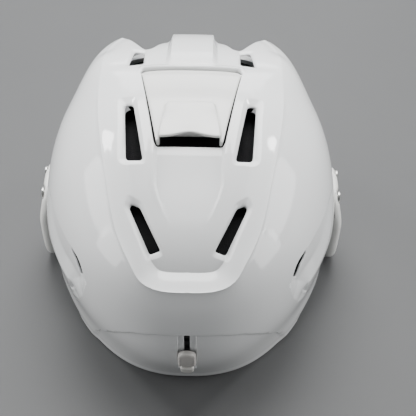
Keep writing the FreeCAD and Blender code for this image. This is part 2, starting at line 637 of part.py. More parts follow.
sy = STUD[0]
xi = abs(studs[0][0].x)
xn = xi - 13.2
LEFT = [(-xn, 30), (-xn + 0.5, 24), (-xn + 2.0, 17), (-xn + 6, 10.5), (-xn + 13, 6.6), (-xn + 22, 5.2), (-43.6, 5.0)]
feature("strap_left", ribbon(LEFT, sy, SW, ST))
RIGHT = LEFT[:-1] + [(-44, 5.4), (-30, 5.6), (-8, 5.6), (8.0, 5.4)]
feature("strap_right", mirror_x(ribbon(RIGHT, sy, SW, ST)))
cup_t = [[V(x, y, 2.6 + 1.2 - 0.0009 * x * x - 0.0008 * (y - sy) ** 2 + 0.1) for y in span(sy - G["cup_width"] / 2, sy + G["cup_width"] / 2, 7)]
         for x in span(-8, -8 + G["cup_length"] / 2.0, 9)]
cup_l = [[p - V(0, 0, G["cup_thickness"] - 0.6) for p in r] for r in cup_t]
feature("chin_cup", grid_solid(cup_t, cup_l))
bl, bw, bt = G["buckle_length"], G["buckle_width"], G["buckle_thickness"]
buckle_f = doc.addObject("Part::Box", "buckle_female_block")
bind(buckle_f, Length="buckle_length", Width="buckle_width", Height="buckle_thickness")
buckle_f.Placement = FreeCAD.Placement(V(-43.5, sy - bw / 2, 2.4), FreeCAD.Rotation())
buckle_h = doc.addObject("Part::Box", "buckle_female_mouth")
buckle_h.Length, buckle_h.Width, buckle_h.Height = 15.0, 15.0, 2.8
buckle_h.Placement = FreeCAD.Placement(V(-43.5 + bl - 14.0, sy - 7.5, 3.5), FreeCAD.Rotation())
buckle_cut = doc.addObject("Part::Cut", "buckle_female_cut")
buckle_cut.Base, buckle_cut.Tool = buckle_f, buckle_h
doc.recompute()
buckle = doc.addObject("Part::Fillet", "strap_buckle_female")
buckle.Base = buckle_cut
es = []
for i, e in enumerate(buckle_cut.Shape.Edges, start=1):
    a, b = e.Vertexes[0].Point, e.Vertexes[-1].Point
    if abs(a.z - b.z) > bt - 0.5:
        es.append((i, 2.5, 2.5))
buckle.Edges = es
buckle.Label = "strap_buckle_female"
PARTS.append(buckle)
m_body = Part.makeBox(9, bw - 2, bt - 0.6, V(-43.5 + bl + 0.3, sy - bw / 2 + 1, 2.7))
m_tongue = Part.makeBox(12.5, 3.2, 1.9, V(-43.5 + bl - 12.0, sy - 1.6, 3.95))
m_arm = [Part.makeBox(12.5, 2.2, 1.9, V(-43.5 + bl - 12.0, sy + q, 3.95)) for q in (-6.9, 4.7)]
feature("strap_buckle_male", m_body.fuse([m_tongue] + m_arm).removeSplitter())

# ------------------------------------------------------------------ check and write
doc.recompute()
bad = []
for o in doc.Objects:
    if "Invalid" in o.State or "Error" in o.State:
        bad.append(o.Name + " " + str(o.State))
for o in PARTS:
    s = o.Shape
    if s.isNull() or not s.isValid():
        bad.append(o.Label + " shape not valid")
if bad:
    raise RuntimeError("; ".join(bad))
os.makedirs("parts", exist_ok=True)
for o in PARTS:
    s = o.Shape
    s.exportStep("parts/%s.step" % o.Label)
    bb = s.BoundBox
    print("%-24s solids %d vol %9.1f x %7.1f..%7.1f y %7.1f..%7.1f z %7.1f..%7.1f" % (
        o.Label, len(s.Solids), s.Volume, bb.XMin, bb.XMax, bb.YMin, bb.YMax, bb.ZMin, bb.ZMax))
for i, (p, n) in enumerate(inserts):
    m = p - n * (DROP + FW + 0.1)
    print("insert %d  x %.4f y %.4f z %.4f  axis %.5f %.5f %.5f" % (i, m.x, m.y, m.z, n.x, n.y, n.z))
print("pin  y %.4f z %.4f" % (pin_c.y, pin_c.z))
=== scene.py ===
import bpy, math
import numpy as np
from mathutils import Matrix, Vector, kdtree
from mathutils.geometry import delaunay_2d_cdt


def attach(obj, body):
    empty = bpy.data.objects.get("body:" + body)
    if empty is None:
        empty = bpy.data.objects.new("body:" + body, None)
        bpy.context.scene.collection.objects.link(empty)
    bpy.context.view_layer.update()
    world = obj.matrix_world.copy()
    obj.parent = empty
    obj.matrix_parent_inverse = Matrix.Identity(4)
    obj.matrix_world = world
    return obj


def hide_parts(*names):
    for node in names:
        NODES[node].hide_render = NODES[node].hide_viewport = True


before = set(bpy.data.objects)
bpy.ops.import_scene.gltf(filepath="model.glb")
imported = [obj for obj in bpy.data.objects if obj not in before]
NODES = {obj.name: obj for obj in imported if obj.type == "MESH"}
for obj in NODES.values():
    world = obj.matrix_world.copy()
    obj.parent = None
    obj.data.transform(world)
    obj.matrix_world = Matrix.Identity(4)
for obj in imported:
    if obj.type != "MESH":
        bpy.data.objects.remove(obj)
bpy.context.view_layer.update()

MM = 0.001

# ---------------------------------------------------------------- camera
AZ, EL, DIST, ROLL, FOCAL = math.radians(-0.5), math.radians(48.0), 650.0, math.radians(1.2), 900.0
back = Vector((math.sin(AZ) * math.cos(EL), -math.cos(AZ) * math.cos(EL), math.sin(EL)))
aim = Vector((12.5, -11.0, 72.0))
right = (-back).cross(Vector((0, 0, 1))).normalized()
up = right.cross(-back)
right2 = right * math.cos(ROLL) + up * math.sin(ROLL)
up2 = up * math.cos(ROLL) - right * math.sin(ROLL)
cam_data = bpy.data.cameras.new("camera")
cam = bpy.data.objects.new("camera", cam_data)
bpy.context.scene.collection.objects.link(cam)
cam_data.sensor_width = 36.0
cam_data.lens = FOCAL / 416.0 * 36.0
cam_data.clip_start, cam_data.clip_end = 0.02, 20.0
m = cam.matrix_world.copy()
for i in range(3):
    m[i][0], m[i][1], m[i][2] = right2[i], up2[i], back[i]
    m[i][3] = (aim[i] + back[i] * DIST) * MM
cam.matrix_world = m
bpy.context.scene.camera = cam

# ---------------------------------------------------------------- dome surface, millimetres (the same curves as the CAD)
Y0, Z0, A = 8.0, 40.0, 106.0
MID = [(119, -66), (131, -40), (142.4, 8), (144.8, 44), (144.6, 66), (137, 92), (118.5, 121), (87, 147), (45, 168), (0, 176),
       (-48, 172), (-90, 156), (-120, 130), (-132.3, 98), (-132.7, 68), (-124, 38), (-113.5, 14), (-105, -6)]


def natural(xs, ys):
    xs, ys = np.asarray(xs, float), np.asarray(ys, float)
    n, d = len(xs), np.diff(xs)
    mat, rhs = np.zeros((n, n)), np.zeros(n)
    mat[0, 0] = mat[-1, -1] = 1
    for i in range(1, n - 1):
        mat[i, i - 1], mat[i, i], mat[i, i + 1] = d[i - 1], 2 * (d[i - 1] + d[i]), d[i]
        rhs[i] = 3 * ((ys[i + 1] - ys[i]) / d[i] - (ys[i] - ys[i - 1]) / d[i - 1])
    c = np.linalg.solve(mat, rhs)
    b = np.diff(ys) / d - d * (c[1:] + 2 * c[:-1]) / 3
    e = np.diff(c) / (3 * d)

    def f(x):
        x = np.asarray(x, float)
        i = np.clip(np.searchsorted(xs, x, side="left") - 1, 0, n - 2)
        s = x - xs[i]
        return ys[i] + b[i] * s + c[i] * s * s + e[i] * s ** 3
    return f


_ph = np.array([math.atan2(z - Z0, y - Y0) for y, z in MID])
_ph = np.where(_ph > -1.2, _ph, _ph + 2 * math.pi)
RS = natural(_ph, [math.hypot(z - Z0, y - Y0) for y, z in MID])
KN = [-0.85, 0, .52, 1.05, 1.57, 2.09, 2.62, 2.9, 3.14, 3.4, 3.8]
NS = natural(KN, [2.2, 2.3, 2.6, 2.95, 3.12, 2.79, 2.37, 2.2, 2.15, 2.35, 2.45])
MS = natural(KN, [2.0, 2.0, 2.1, 2.2, 2.22, 1.99, 1.63, 1.45, 1.42, 1.42, 1.58])
_f = -0.86 + 0.0025 * np.arange(1905)
_r = RS(_f)
_p = np.c_[Y0 + _r * np.cos(_f), Z0 + _r * np.sin(_f)]
_l = np.r_[0, np.cumsum(np.hypot(*np.diff(_p, axis=0).T))]
_l -= np.interp(math.pi / 2, _f, _l)


def arc_of(phi):
    return np.interp(phi, _f, _l)


def phi_of(s):
    return np.interp(s, _l, _f)


def base(phi, u):
    phi, u = np.broadcast_arrays(np.asarray(phi, float), np.asarray(u, float))
    r = RS(phi) * np.maximum(0.0, 1 - np.abs(u) ** NS(phi)) ** (1 / MS(phi))
    y, z = Y0 + r * np.cos(phi), Z0 + r * np.sin(phi)
    return np.stack([A * u * (1 - 0.0002 * y - 0.0000015 * y * y), y, z], -1)


def normal(phi, u):
    e = 0.004
    a = base(phi + e, u) - base(phi - e, u)
    b = base(phi, u + e) - base(phi, u - e)
    n = np.cross(b, a)
    n /= np.linalg.norm(n, axis=-1, keepdims=True) + 1e-12
    s = ((base(phi, u) - np.array([0, 0, 60.0])) * n).sum(-1)
    return n * np.where(s < 0, -1, 1)[..., None]


def u_of(x, s):
    x, s = np.broadcast_arrays(np.asarray(x, float), np.asarray(s, float))
    phi, u = phi_of(s), x / A
    for _ in range(8):
        y = base(phi, u)[..., 1]
        u = np.clip(x / (A * (1 - 0.0002 * y - 0.0000015 * y * y)), -0.99, 0.99)
    return phi, u


def smooth(k):
    k = np.clip(k, 0.0, 1.0)
    return k * k * (3 - 2 * k)


# flat working plane of the dome: p = K * asin(u), q = mid-plane arc
K = 118.0


def pq_of_xs(x, s):
    phi, u = u_of(x, s)
    return np.stack([K * np.arcsin(u), np.broadcast_to(s, u.shape)], -1)


def pq_of_yz(y, z, sign=1.0):
    y, z = np.asarray(y, float), np.asarray(z, float)
    phi = np.arctan2(z - Z0, y - Y0)
    phi = np.where(phi > -1.2, phi, phi + 2 * math.pi)
    k = np.clip(1 - (np.hypot(z - Z0, y - Y0) / RS(phi)) ** MS(phi), 0.0, 0.99999)
    u = k ** (1 / NS(phi))
    return np.stack([sign * K * np.arcsin(np.minimum(u, 0.9935)), arc_of(phi)], -1)


def phiu(pq):
    return phi_of(pq[..., 1]), np.sin(pq[..., 0] / K)


def dome(pq, h=0.0):
    phi, u = phiu(pq)
    return base(phi, u) + normal(phi, u) * np.asarray(h)[..., None]


# ---------------------------------------------------------------- relief of the rear shell
def interp(pts, col=1):
    xs = [p[0] for p in pts]
    ys = [p[1] for p in pts]
    return lambda x: np.interp(x, xs, ys)


def curve_through(pts, step=1.5):
    # smooth curve through points given in the plane
    p = np.asarray(pts, float)
    t = np.r_[0, np.cumsum(np.sqrt(np.hypot(*np.diff(p, axis=0).T)))]
    fx, fy = natural(t, p[:, 0]), natural(t, p[:, 1])
    tt = np.linspace(0, t[-1], 600)
    return resample(np.c_[fx(tt), fy(tt)], step)


def resample(p, step, closed=False):
    p = np.asarray(p, float)
    if closed:
        p = np.vstack([p, p[:1]])
    l = np.r_[0, np.cumsum(np.hypot(*np.diff(p, axis=0).T))]
    n = max(2, int(round(l[-1] / step)))
    t = np.linspace(0, l[-1], n + 1)
    q = np.c_[np.interp(t, l, p[:, 0]), np.interp(t, l, p[:, 1])]
    return q[:-1] if closed else q


def rounded(poly, radius, step=0.7):
    # closed polygon with its corners rounded
    p = np.asarray(poly, float)
    out = []
    n = len(p)
    rr = radius if hasattr(radius, "__len__") else [radius] * n
    for i in range(n):
        a, b, c = p[i - 1], p[i], p[(i + 1) % n]
        la, lc = np.linalg.norm(a - b), np.linalg.norm(c - b)
        r = min(rr[i], 0.45 * la, 0.45 * lc)
        s, e = b + (a - b) / la * r, b + (c - b) / lc * r
        for t in np.linspace(0, 1, 9):
            out.append((1 - t) ** 2 * s + 2 * t * (1 - t) * b + t * t * e)
    return resample(np.array(out), step, closed=True)


def inside_poly(poly, pts):
    # even-odd test
    x, y = pts[:, 0], pts[:, 1]
    hit = np.zeros(len(pts), bool)
    a, b = poly, np.roll(poly, -1, axis=0)
    for (x0, y0), (x1, y1) in zip(a, b):
        if y0 == y1:
            continue
        c = (y0 > y) != (y1 > y)
        if c.any():
            hit ^= c & (x < (x1 - x0) * (y - y0) / (y1 - y0) + x0)
    return hit


def far_from(line, pts, closed=False):
    # distance to a polyline, and the position along it of the nearest point
    p = np.asarray(line, float)
    if closed:
        p = np.vstack([p, p[:1]])
    best = np.full(len(pts), 1e9)
    where = np.zeros(len(pts))
    l = np.r_[0, np.cumsum(np.hypot(*np.diff(p, axis=0).T))]
    for i in range(len(p) - 1):
        d = p[i + 1] - p[i]
        n2 = float(d @ d) + 1e-12
        k = np.clip(((pts - p[i]) @ d) / n2, 0, 1)
        q = np.hypot(pts[:, 0] - p[i, 0] - k * d[0], pts[:, 1] - p[i, 1] - k * d[1])
        m_ = q < best
        best = np.where(m_, q, best)
        where = np.where(m_, l[i] + k * (l[i + 1] - l[i]), where)
    return best, where


CREST = [(47, -95), (52.5, -80), (57, -60), (58.5, -25), (59, 0), (57.5, 29), (56, 42), (54, 56), (50.4, 77),
         (46.2, 100), (41, 119), (34, 134), (28.5, 143.5), (22, 147.8), (14, 149.6), (0, 150)]
VALLEY = [(33, -95), (33.4, -57), (35, -20), (37, 0), (42.5, 20), (42.5, 45), (39.5, 60), (37.3, 68.6), (33.9, 94),
          (28.6, 119), (22.6, 134), (19.0, 138.4), (14, 139.8), (0, 140)]
CREST_L = curve_through(CREST, 1.6)      # (X, S)
VALLEY_L = curve_through(VALLEY, 1.6)
CREST_RISE = interp([(-95, 11.0), (-80, 10.0), (-55, 7.6), (-25, 4.8), (10, 2.9), (40, 2.1), (80, 1.6), (120, 1.0), (150, 0.7)])
FALL = interp([(-95, 34), (-20, 28), (60, 20), (150, 10)])
RIDGE = interp([(-20, 0.6), (-5, 1.6), (30, 1.4), (62, 0.4), (80, -2.0), (100, -4.3), (125, -6.4), (140, -7.6)])
EDGE = interp([(50, 21.5), (64, 21), (83, 20.8), (92, 18.4), (101, 14.6), (112, 9.0)])


def rise_inner(x, s):
    front = -1.0 + 5.0 * smooth((17.5 - x) / 3.5) * smooth((-16 - s) / 14.0)
    k = smooth((s + 24) / 14.0)
    mid = front * (1 - k) + RIDGE(s) * k + 1.3 * smooth((s + 21) / 5.0) * smooth((-12 - s) / 2.0) * smooth((36 - x) / 3.0)
    depth = 3.3 * smooth((112 - s) / 42.0) * smooth((s - 52) / 6.0)
    bead = 0.45 * np.exp(-((x - EDGE(s) - 1.6) / 1.1) ** 2) * smooth((104 - s) / 30.0) * smooth((s - 50) / 6.0)
    return mid + bead - depth * smooth((EDGE(s) - x) / 1.4 + 0.5)


def relief(x, s):
    # rise over the dome at |X| and arc S, before pockets
    pts = np.c_[x, s]
    vx = np.interp(s, VALLEY_L[:, 1] + np.arange(len(VALLEY_L)) * 1e-7, VALLEY_L[:, 0])
    cx = np.interp(s, CREST_L[:, 1] + np.arange(len(CREST_L)) * 1e-7, CREST_L[:, 0])
    in_v = (x < vx) & (s < 140)
    in_c = (x < cx) & (s < 150)
    do, wo = far_from(CREST_L, pts)
    di, wi = far_from(VALLEY_L, pts)
    lc = np.r_[0, np.cumsum(np.hypot(*np.diff(CREST_L, axis=0).T))]
    lv = np.r_[0, np.cumsum(np.hypot(*np.diff(VALLEY_L, axis=0).T))]
    so = np.interp(wo, lc, CREST_L[:, 1])
    sv, xv = np.interp(wi, lv, VALLEY_L[:, 1]), np.interp(wi, lv, VALLEY_L[:, 0])
    t = np.clip(do / FALL(so), 0, 1)
    bend = smooth((so + 40) / 50.0)
    outer = CREST_RISE(so) * ((1 - smooth(t)) * (1 - bend) + (1 - t) ** 2 * bend)
    k = di / (di + do + 1e-9)
    ledge = rise_inner(np.minimum(xv, x), np.minimum(sv, 140.0)) * (1 - k) + CREST_RISE(so) * k
    bead = 0.35 * np.exp(-(do / 0.9) ** 2) * smooth((so + 10) / 30.0) - 1.9 * np.exp(-(do / 5.5) ** 2) * smooth((-40 - so) / 22.0)
    return np.where(in_v, rise_inner(x, s), np.where(in_c, ledge, outer)) + bead


# vents: hole outline and pocket outline around it, both (X, S), right-hand side
TOP_HOLE = [(33.8, -48.0), (40.4, -49.0), (42.9, -22.8), (33.2, -26.5)]
TOP_POCKET = [(32.0, -51.5), (41.8, -52.5), (45.0, -19.6), (31.0, -23.2)]
UP_HOLE = [(36.6, 23.2), (42.3, 22.8), (39.8, 66.3), (28.9, 66.9)]
UP_POCKET = [(34.6, 17.0), (46.0, 17.0), (43.4, 67.6), (40.4, 70.2), (27.2, 70.2), (26.2, 66.8)]
LOW_HOLE = [(31.0, 98.0), (36.0, 96.2), (37.4, 99.0), (25.2, 129.2), (17.6, 125.9)]
LOW_POCKET = [(29.4, 94.2), (37.6, 89.5), (40.0, 98.0), (26.2, 133.2), (15.2, 128.6)]


def vent_dip(pts, hole, pocket, depth):
    # funnel between the pocket outline and the hole
    near = inside_poly(pocket, pts)
    out = np.zeros(len(pts))
    if near.any():
        q = pts[near]
        dh, _ = far_from(hole, q, True)
        dp, _ = far_from(pocket, q, True)
        dh = np.where(inside_poly(hole, q), 0.0, dh)
        out[near] = depth * (1 - dh / (dh + dp + 1e-9))
    return out


VENTS = [(rounded(TOP_HOLE, 1.6), rounded(TOP_POCKET, 2.4), 1.0),
         (rounded(UP_HOLE, 2.4), rounded(UP_POCKET, 3.2), 2.1),
         (rounded(LOW_HOLE, 1.6), rounded(LOW_POCKET, 2.2), 1.7)]

# nape step: S of the line over |X|
STEP = interp([(0, 184.5), (20, 186.0), (36, 191.5), (45, 200.0), (53, 213.0), (60, 233.0), (67, 272.0), (72, 300.0)])

# side scoop in the side view (y, z): its upper edge, and the wedge that closes it
CH_TOP = np.array([(-14, 100.0), (-26, 104.5), (-40.7, 108.1), (-53.3, 109.9), (-69.4, 111.5), (-83.8, 111.8), (-89.3, 111.2), (-92.6, 109.6), (-95.2, 107.0), (-97.6, 102.6)])
CH_IN = np.array([(-97.6, 102.6), (-91.5, 90.0), (-84.0, 80.0), (-77.0, 72.5)])
CH_OUT = np.array([(-100.2, 96.5), (-96.0, 80.0), (-86.0, 62.0), (-74.0, 50.0)])
SLIT = [(-82.0, 111.4), (-89.3, 110.7), (-92.3, 109.1), (-94.8, 106.6), (-96.9, 103.0), (-89.1, 89.6), (-86.8, 93.1), (-83.8, 96.5), (-79.9, 97.9), (-76.5, 99.7), (-76.0, 103.1)]
CH_LOW = np.array([(-77.0, 72.5), (-66.0, 70.0), (-50.0, 76.0), (-34.0, 86.0), (-20.0, 95.0), (-14, 100.0)])


def side_dip(y, z):
    pts = np.c_[y, z]
    box = (y < -10) & (z > 30)
    out = np.zeros(len(pts))
    q = pts[box]
    if len(q):
        area_ = np.vstack([CH_TOP, CH_IN[1:], CH_LOW[1:]])
        ins = inside_poly(area_, q)
        dt, _ = far_from(CH_TOP, q)
        di, _ = far_from(CH_IN, q)
        do, _ = far_from(CH_OUT, q)
        dl, _ = far_from(CH_LOW, q)
        full = 0.8 + 4.0 * smooth((-30 - q[:, 0]) / 42.0)
        floor_ = full * np.minimum(1.0, dt / 1.4) * np.minimum(1.0, dl / 14.0 + 0.05)
        wall = inside_poly(np.vstack([CH_IN, CH_OUT[::-1]]), q)
        edge = np.minimum(1.0, np.minimum(dt / 1.4, 1.0)) * 1.0
        lift = full * do / (di + do + 1e-9) * smooth((q[:, 0] + 102) / 3.0 + 0.2) * np.minimum(1.0, dl / 14.0 + 0.05)
        out[box] = np.where(ins, floor_, np.where(wall, lift, 0.0))
    return out


# ---------------------------------------------------------------- meshing: one sheet with explicit feature lines, two faces and rounded edges
def jac(place, pq):
    e = 0.05
    a = (place(pq + [e, 0]) - place(pq - [e, 0])) / (2 * e)
    b = (place(pq + [0, e]) - place(pq - [0, e])) / (2 * e)
    return a, b


def inset(place, loop, dist, inner_sign):
    # loop moved inwards over the surface by a true distance
    a, b = jac(place, loop)
    t = np.roll(loop, -1, 0) - np.roll(loop, 1, 0)
    T = a * t[:, :1] + b * t[:, 1:]
    T /= np.linalg.norm(T, axis=1, keepdims=True) + 1e-12
    N = np.cross(a, b)
    N /= np.linalg.norm(N, axis=1, keepdims=True) + 1e-12
    B = np.cross(N, T) * inner_sign
    aa, ab, bb = (a * a).sum(1), (a * b).sum(1), (b * b).sum(1)
    ra, rb = (a * B).sum(1), (b * B).sum(1)
    det = aa * bb - ab * ab + 1e-12
    return loop + np.c_[(ra * bb - rb * ab) / det, (rb * aa - ra * ab) / det] * dist


def area_sign(loop):
    x, y = loop[:, 0], loop[:, 1]
    return 1.0 if (x * np.roll(y, -1) - y * np.roll(x, -1)).sum() > 0 else -1.0


def make_object(name, verts, faces, sharp=34.0):
    me = bpy.data.meshes.new(name)
    me.from_pydata([tuple(v) for v in (np.asarray(verts) * MM)], [], [tuple(int(i) for i in f) for f in faces])
    me.validate()
    me.update()
    me.shade_smooth()
    if sharp:
        mark_sharp(me, sharp)
    ob = bpy.data.objects.new(name, me)
    bpy.context.scene.collection.objects.link(ob)
    return ob


def mark_sharp(me, angle):
    n = len(me.polygons)
    nor = np.empty(n * 3)
    me.polygons.foreach_get("normal", nor)
    nor = nor.reshape(-1, 3)
    ls = np.empty(len(me.loops), int)
    me.loops.foreach_get("edge_index", ls)
    tot = np.empty(n, int)
    me.polygons.foreach_get("loop_total", tot)
    face = np.repeat(np.arange(n), tot)
    order = np.argsort(ls, kind="stable")
    e, f = ls[order], face[order]
    same = e[1:] == e[:-1]
    e2, fa, fb = e[1:][same], f[1:][same], f[:-1][same]
    dot = (nor[fa] * nor[fb]).sum(1)
    flag = np.zeros(len(me.edges), bool)
    flag[e2[dot < math.cos(math.radians(angle))]] = True
    at = me.attributes.get("sharp_edge") or me.attributes.new("sharp_edge", "BOOLEAN", "EDGE")
    at.data.foreach_set("value", flag)


def sheet_solid(name, place, outer, holes, lines, points, top, low, edge_top=1.2, edge_low=0.5, keep=0.8, wall_rows=1, sharp=34.0):
    """A plate over a surface: place(pq, height), a border, holes, feature lines and grid points in the flat plane."""
    loops = [outer] + list(holes)
    signs = [area_sign(outer)] + [-area_sign(h) for h in holes]
    P, E = [], []

    def add(pts, closed):
        s = len(P)
        P.extend(map(tuple, pts))
        n = len(pts)
        E.extend((s + i, s + i + 1) for i in range(n - 1))
        if closed:
            E.append((s + n - 1, s))
        return s, n
    spans = [add(lp, True) for lp in loops]
    flat = lambda q: place(q, np.zeros(len(q)))
    fine = []
    for lp in loops:
        fine.append(flat(resample(lp, 0.3, True)))
    fine3 = np.vstack(fine)
    tree = kdtree.KDTree(len(fine3))
    for i, v in enumerate(fine3):
        tree.insert(v, i)
    tree.balance()

    def border_far(q):
        v = flat(q)
        return np.array([tree.find(c)[2] for c in v])
    R = max(edge_top, edge_low)
    rings = [R * k for k in ((0.13, 0.42, 1.0) if R < 1.6 else (0.05, 0.16, 0.34, 0.6, 1.0))] + [R + 0.9]
    for lp, sg in zip(loops, signs):
        for d in rings:
            r = inset(flat, lp, d, sg)
            ok = border_far(r) > d * 0.93
            run = []
            n = len(r)
            for i in range(n + 1):
                j = i % n
                if ok[j] and i < n:
                    run.append(r[j])
                else:
                    if ok[j] and i == n and len(run) == n:
                        add(run, True)
                        run = []
                        break
                    if len(run) > 1:
                        add(run, False)
                    run = []
    line_pts = []
    for ln in lines:
        ins = inside_poly(outer, ln)
        for h in holes:
            ins &= ~inside_poly(h, ln)
        bf = border_far(ln)
        ok = ins & (bf > R + 1.1)
        run = []
        for i, o in enumerate(ok):
            if o:
                run.append(ln[i])
            if (not o or i == len(ok) - 1):
                if len(run) > 1:
                    add(run, False)
                    line_pts.append(flat(resample(np.array(run), 0.5)))
                run = []
    pts = points[inside_poly(outer, points)]
    for h in holes:
        pts = pts[~inside_poly(h, pts)]
    pts = pts[border_far(pts) > R + 1.5]
    if line_pts:
        lp3 = np.vstack(line_pts)
        t2 = kdtree.KDTree(len(lp3))
        for i, v in enumerate(lp3):
            t2.insert(v, i)
        t2.balance()
        v = flat(pts)
        pts = pts[np.array([t2.find(c)[2] for c in v]) > keep]
    P.extend(map(tuple, pts))
    vs, es, fs, *_ = delaunay_2d_cdt([Vector(p) for p in P], E, [], 0, 1e-5, False)
    q = np.array([(v[0], v[1]) for v in vs])
    tri = np.array([f for f in fs if len(f) == 3], int)
    c = q[tri].mean(1)
    ok = inside_poly(outer, c)
    for h in holes:
        ok &= ~inside_poly(h, c)
    tri = tri[ok]
    used = np.unique(tri)
    remap = -np.ones(len(q), int)
    remap[used] = np.arange(len(used))
    q, tri = q[used], remap[tri]
    # boundary edges, in the direction their triangle uses
    ed = np.vstack([tri[:, [0, 1]], tri[:, [1, 2]], tri[:, [2, 0]]])
    key = ed[:, 0].astype(np.int64) * len(q) + ed[:, 1]
    rev = ed[:, 1].astype(np.int64) * len(q) + ed[:, 0]
    bnd = ed[~np.isin(key, rev)]
    d = border_far(q)
    on = np.zeros(len(q), bool)
    on[np.unique(bnd)] = True
    d = np.where(on, 0.0, d)
    ht, hl = top(q), low(q)

    def drop(dist, r):
        k = np.clip(dist / r, 0, 1)
        return r * (1 - np.sqrt(np.maximum(0, 1 - (1 - k) ** 2)))
    ht = ht - drop(d, edge_top)
    hl = hl + drop(d, edge_low)
    n = len(q)
    V = np.vstack([place(q, ht), place(q, hl)])
    # orientation: the top faces along the surface normal
    p0 = V[tri[:, 0]]
    fn = np.cross(V[tri[:, 1]] - p0, V[tri[:, 2]] - p0)
    up_ = place(q, ht + 1.0) - place(q, ht)
    flip = (fn * up_[tri[:, 0]]).sum(1).sum() < 0
    F = [tuple(t[::-1]) if flip else tuple(t) for t in tri] + [tuple(t + n) if flip else tuple((t + n)[::-1]) for t in tri]
    for a, b in bnd:
        F.append((a, b, b + n, a + n) if flip else (b, a, a + n, b + n))
    return make_object(name, V, F, sharp)


def dome_grid(step, a_max=1.44, phi0=-0.84, phi1=3.86):
    pts = []
    fine = np.linspace(phi0, phi1, 700)
    for j in range(int(-a_max * K / step), int(a_max * K / step) + 1):
        p = j * step
        v = base(fine, math.sin(p / K))
        l = np.r_[0, np.cumsum(np.linalg.norm(np.diff(v, axis=0), axis=1))]
        off = 0.5 * step if j % 2 else 0.0
        ph = np.interp(np.arange(off, l[-1], step), l, fine)
        pts.append(np.c_[np.full(len(ph), p), arc_of(ph)])
    return np.vstack(pts)


def spaced(loop, place, step):
    # closed loop with even true spacing
    v = place(loop, np.zeros(len(loop)))
    v = np.vstack([v, v[:1]])
    lp = np.vstack([loop, loop[:1]])
    l = np.r_[0, np.cumsum(np.linalg.norm(np.diff(v, axis=0), axis=1))]
    n = int(round(l[-1] / step))
    t = np.linspace(0, l[-1], n + 1)[:-1]
    return np.c_[np.interp(t, l, lp[:, 0]), np.interp(t, l, lp[:, 1])]


def soften(loop, times):
    for _ in range(times):
        loop = 0.5 * loop + 0.25 * (np.roll(loop, 1, 0) + np.roll(loop, -1, 0))
    return loop


def mirrored(lines):
    return list(lines) + [ln * [-1, 1] for ln in lines]


def arc_at_y(x, y):
    # S of the dome point with this X and Y on the top side
    x, y = np.broadcast_arrays(np.asarray(x, float), np.asarray(y, float))
    lo, hi = np.full(x.shape, -150.0), np.full(x.shape, 260.0)
    for _ in range(40):
        mid = 0.5 * (lo + hi)
        yy = base(*u_of(x, mid))[..., 1]
        lo, hi = np.where(yy > y, mid, lo), np.where(yy > y, hi, mid)
    return 0.5 * (lo + hi)


def parallel(line, off):
    t = np.gradient(line, axis=0)
    t /= np.linalg.norm(t, axis=1, keepdims=True) + 1e-12
    return line + np.c_[-t[:, 1], t[:, 0]] * off


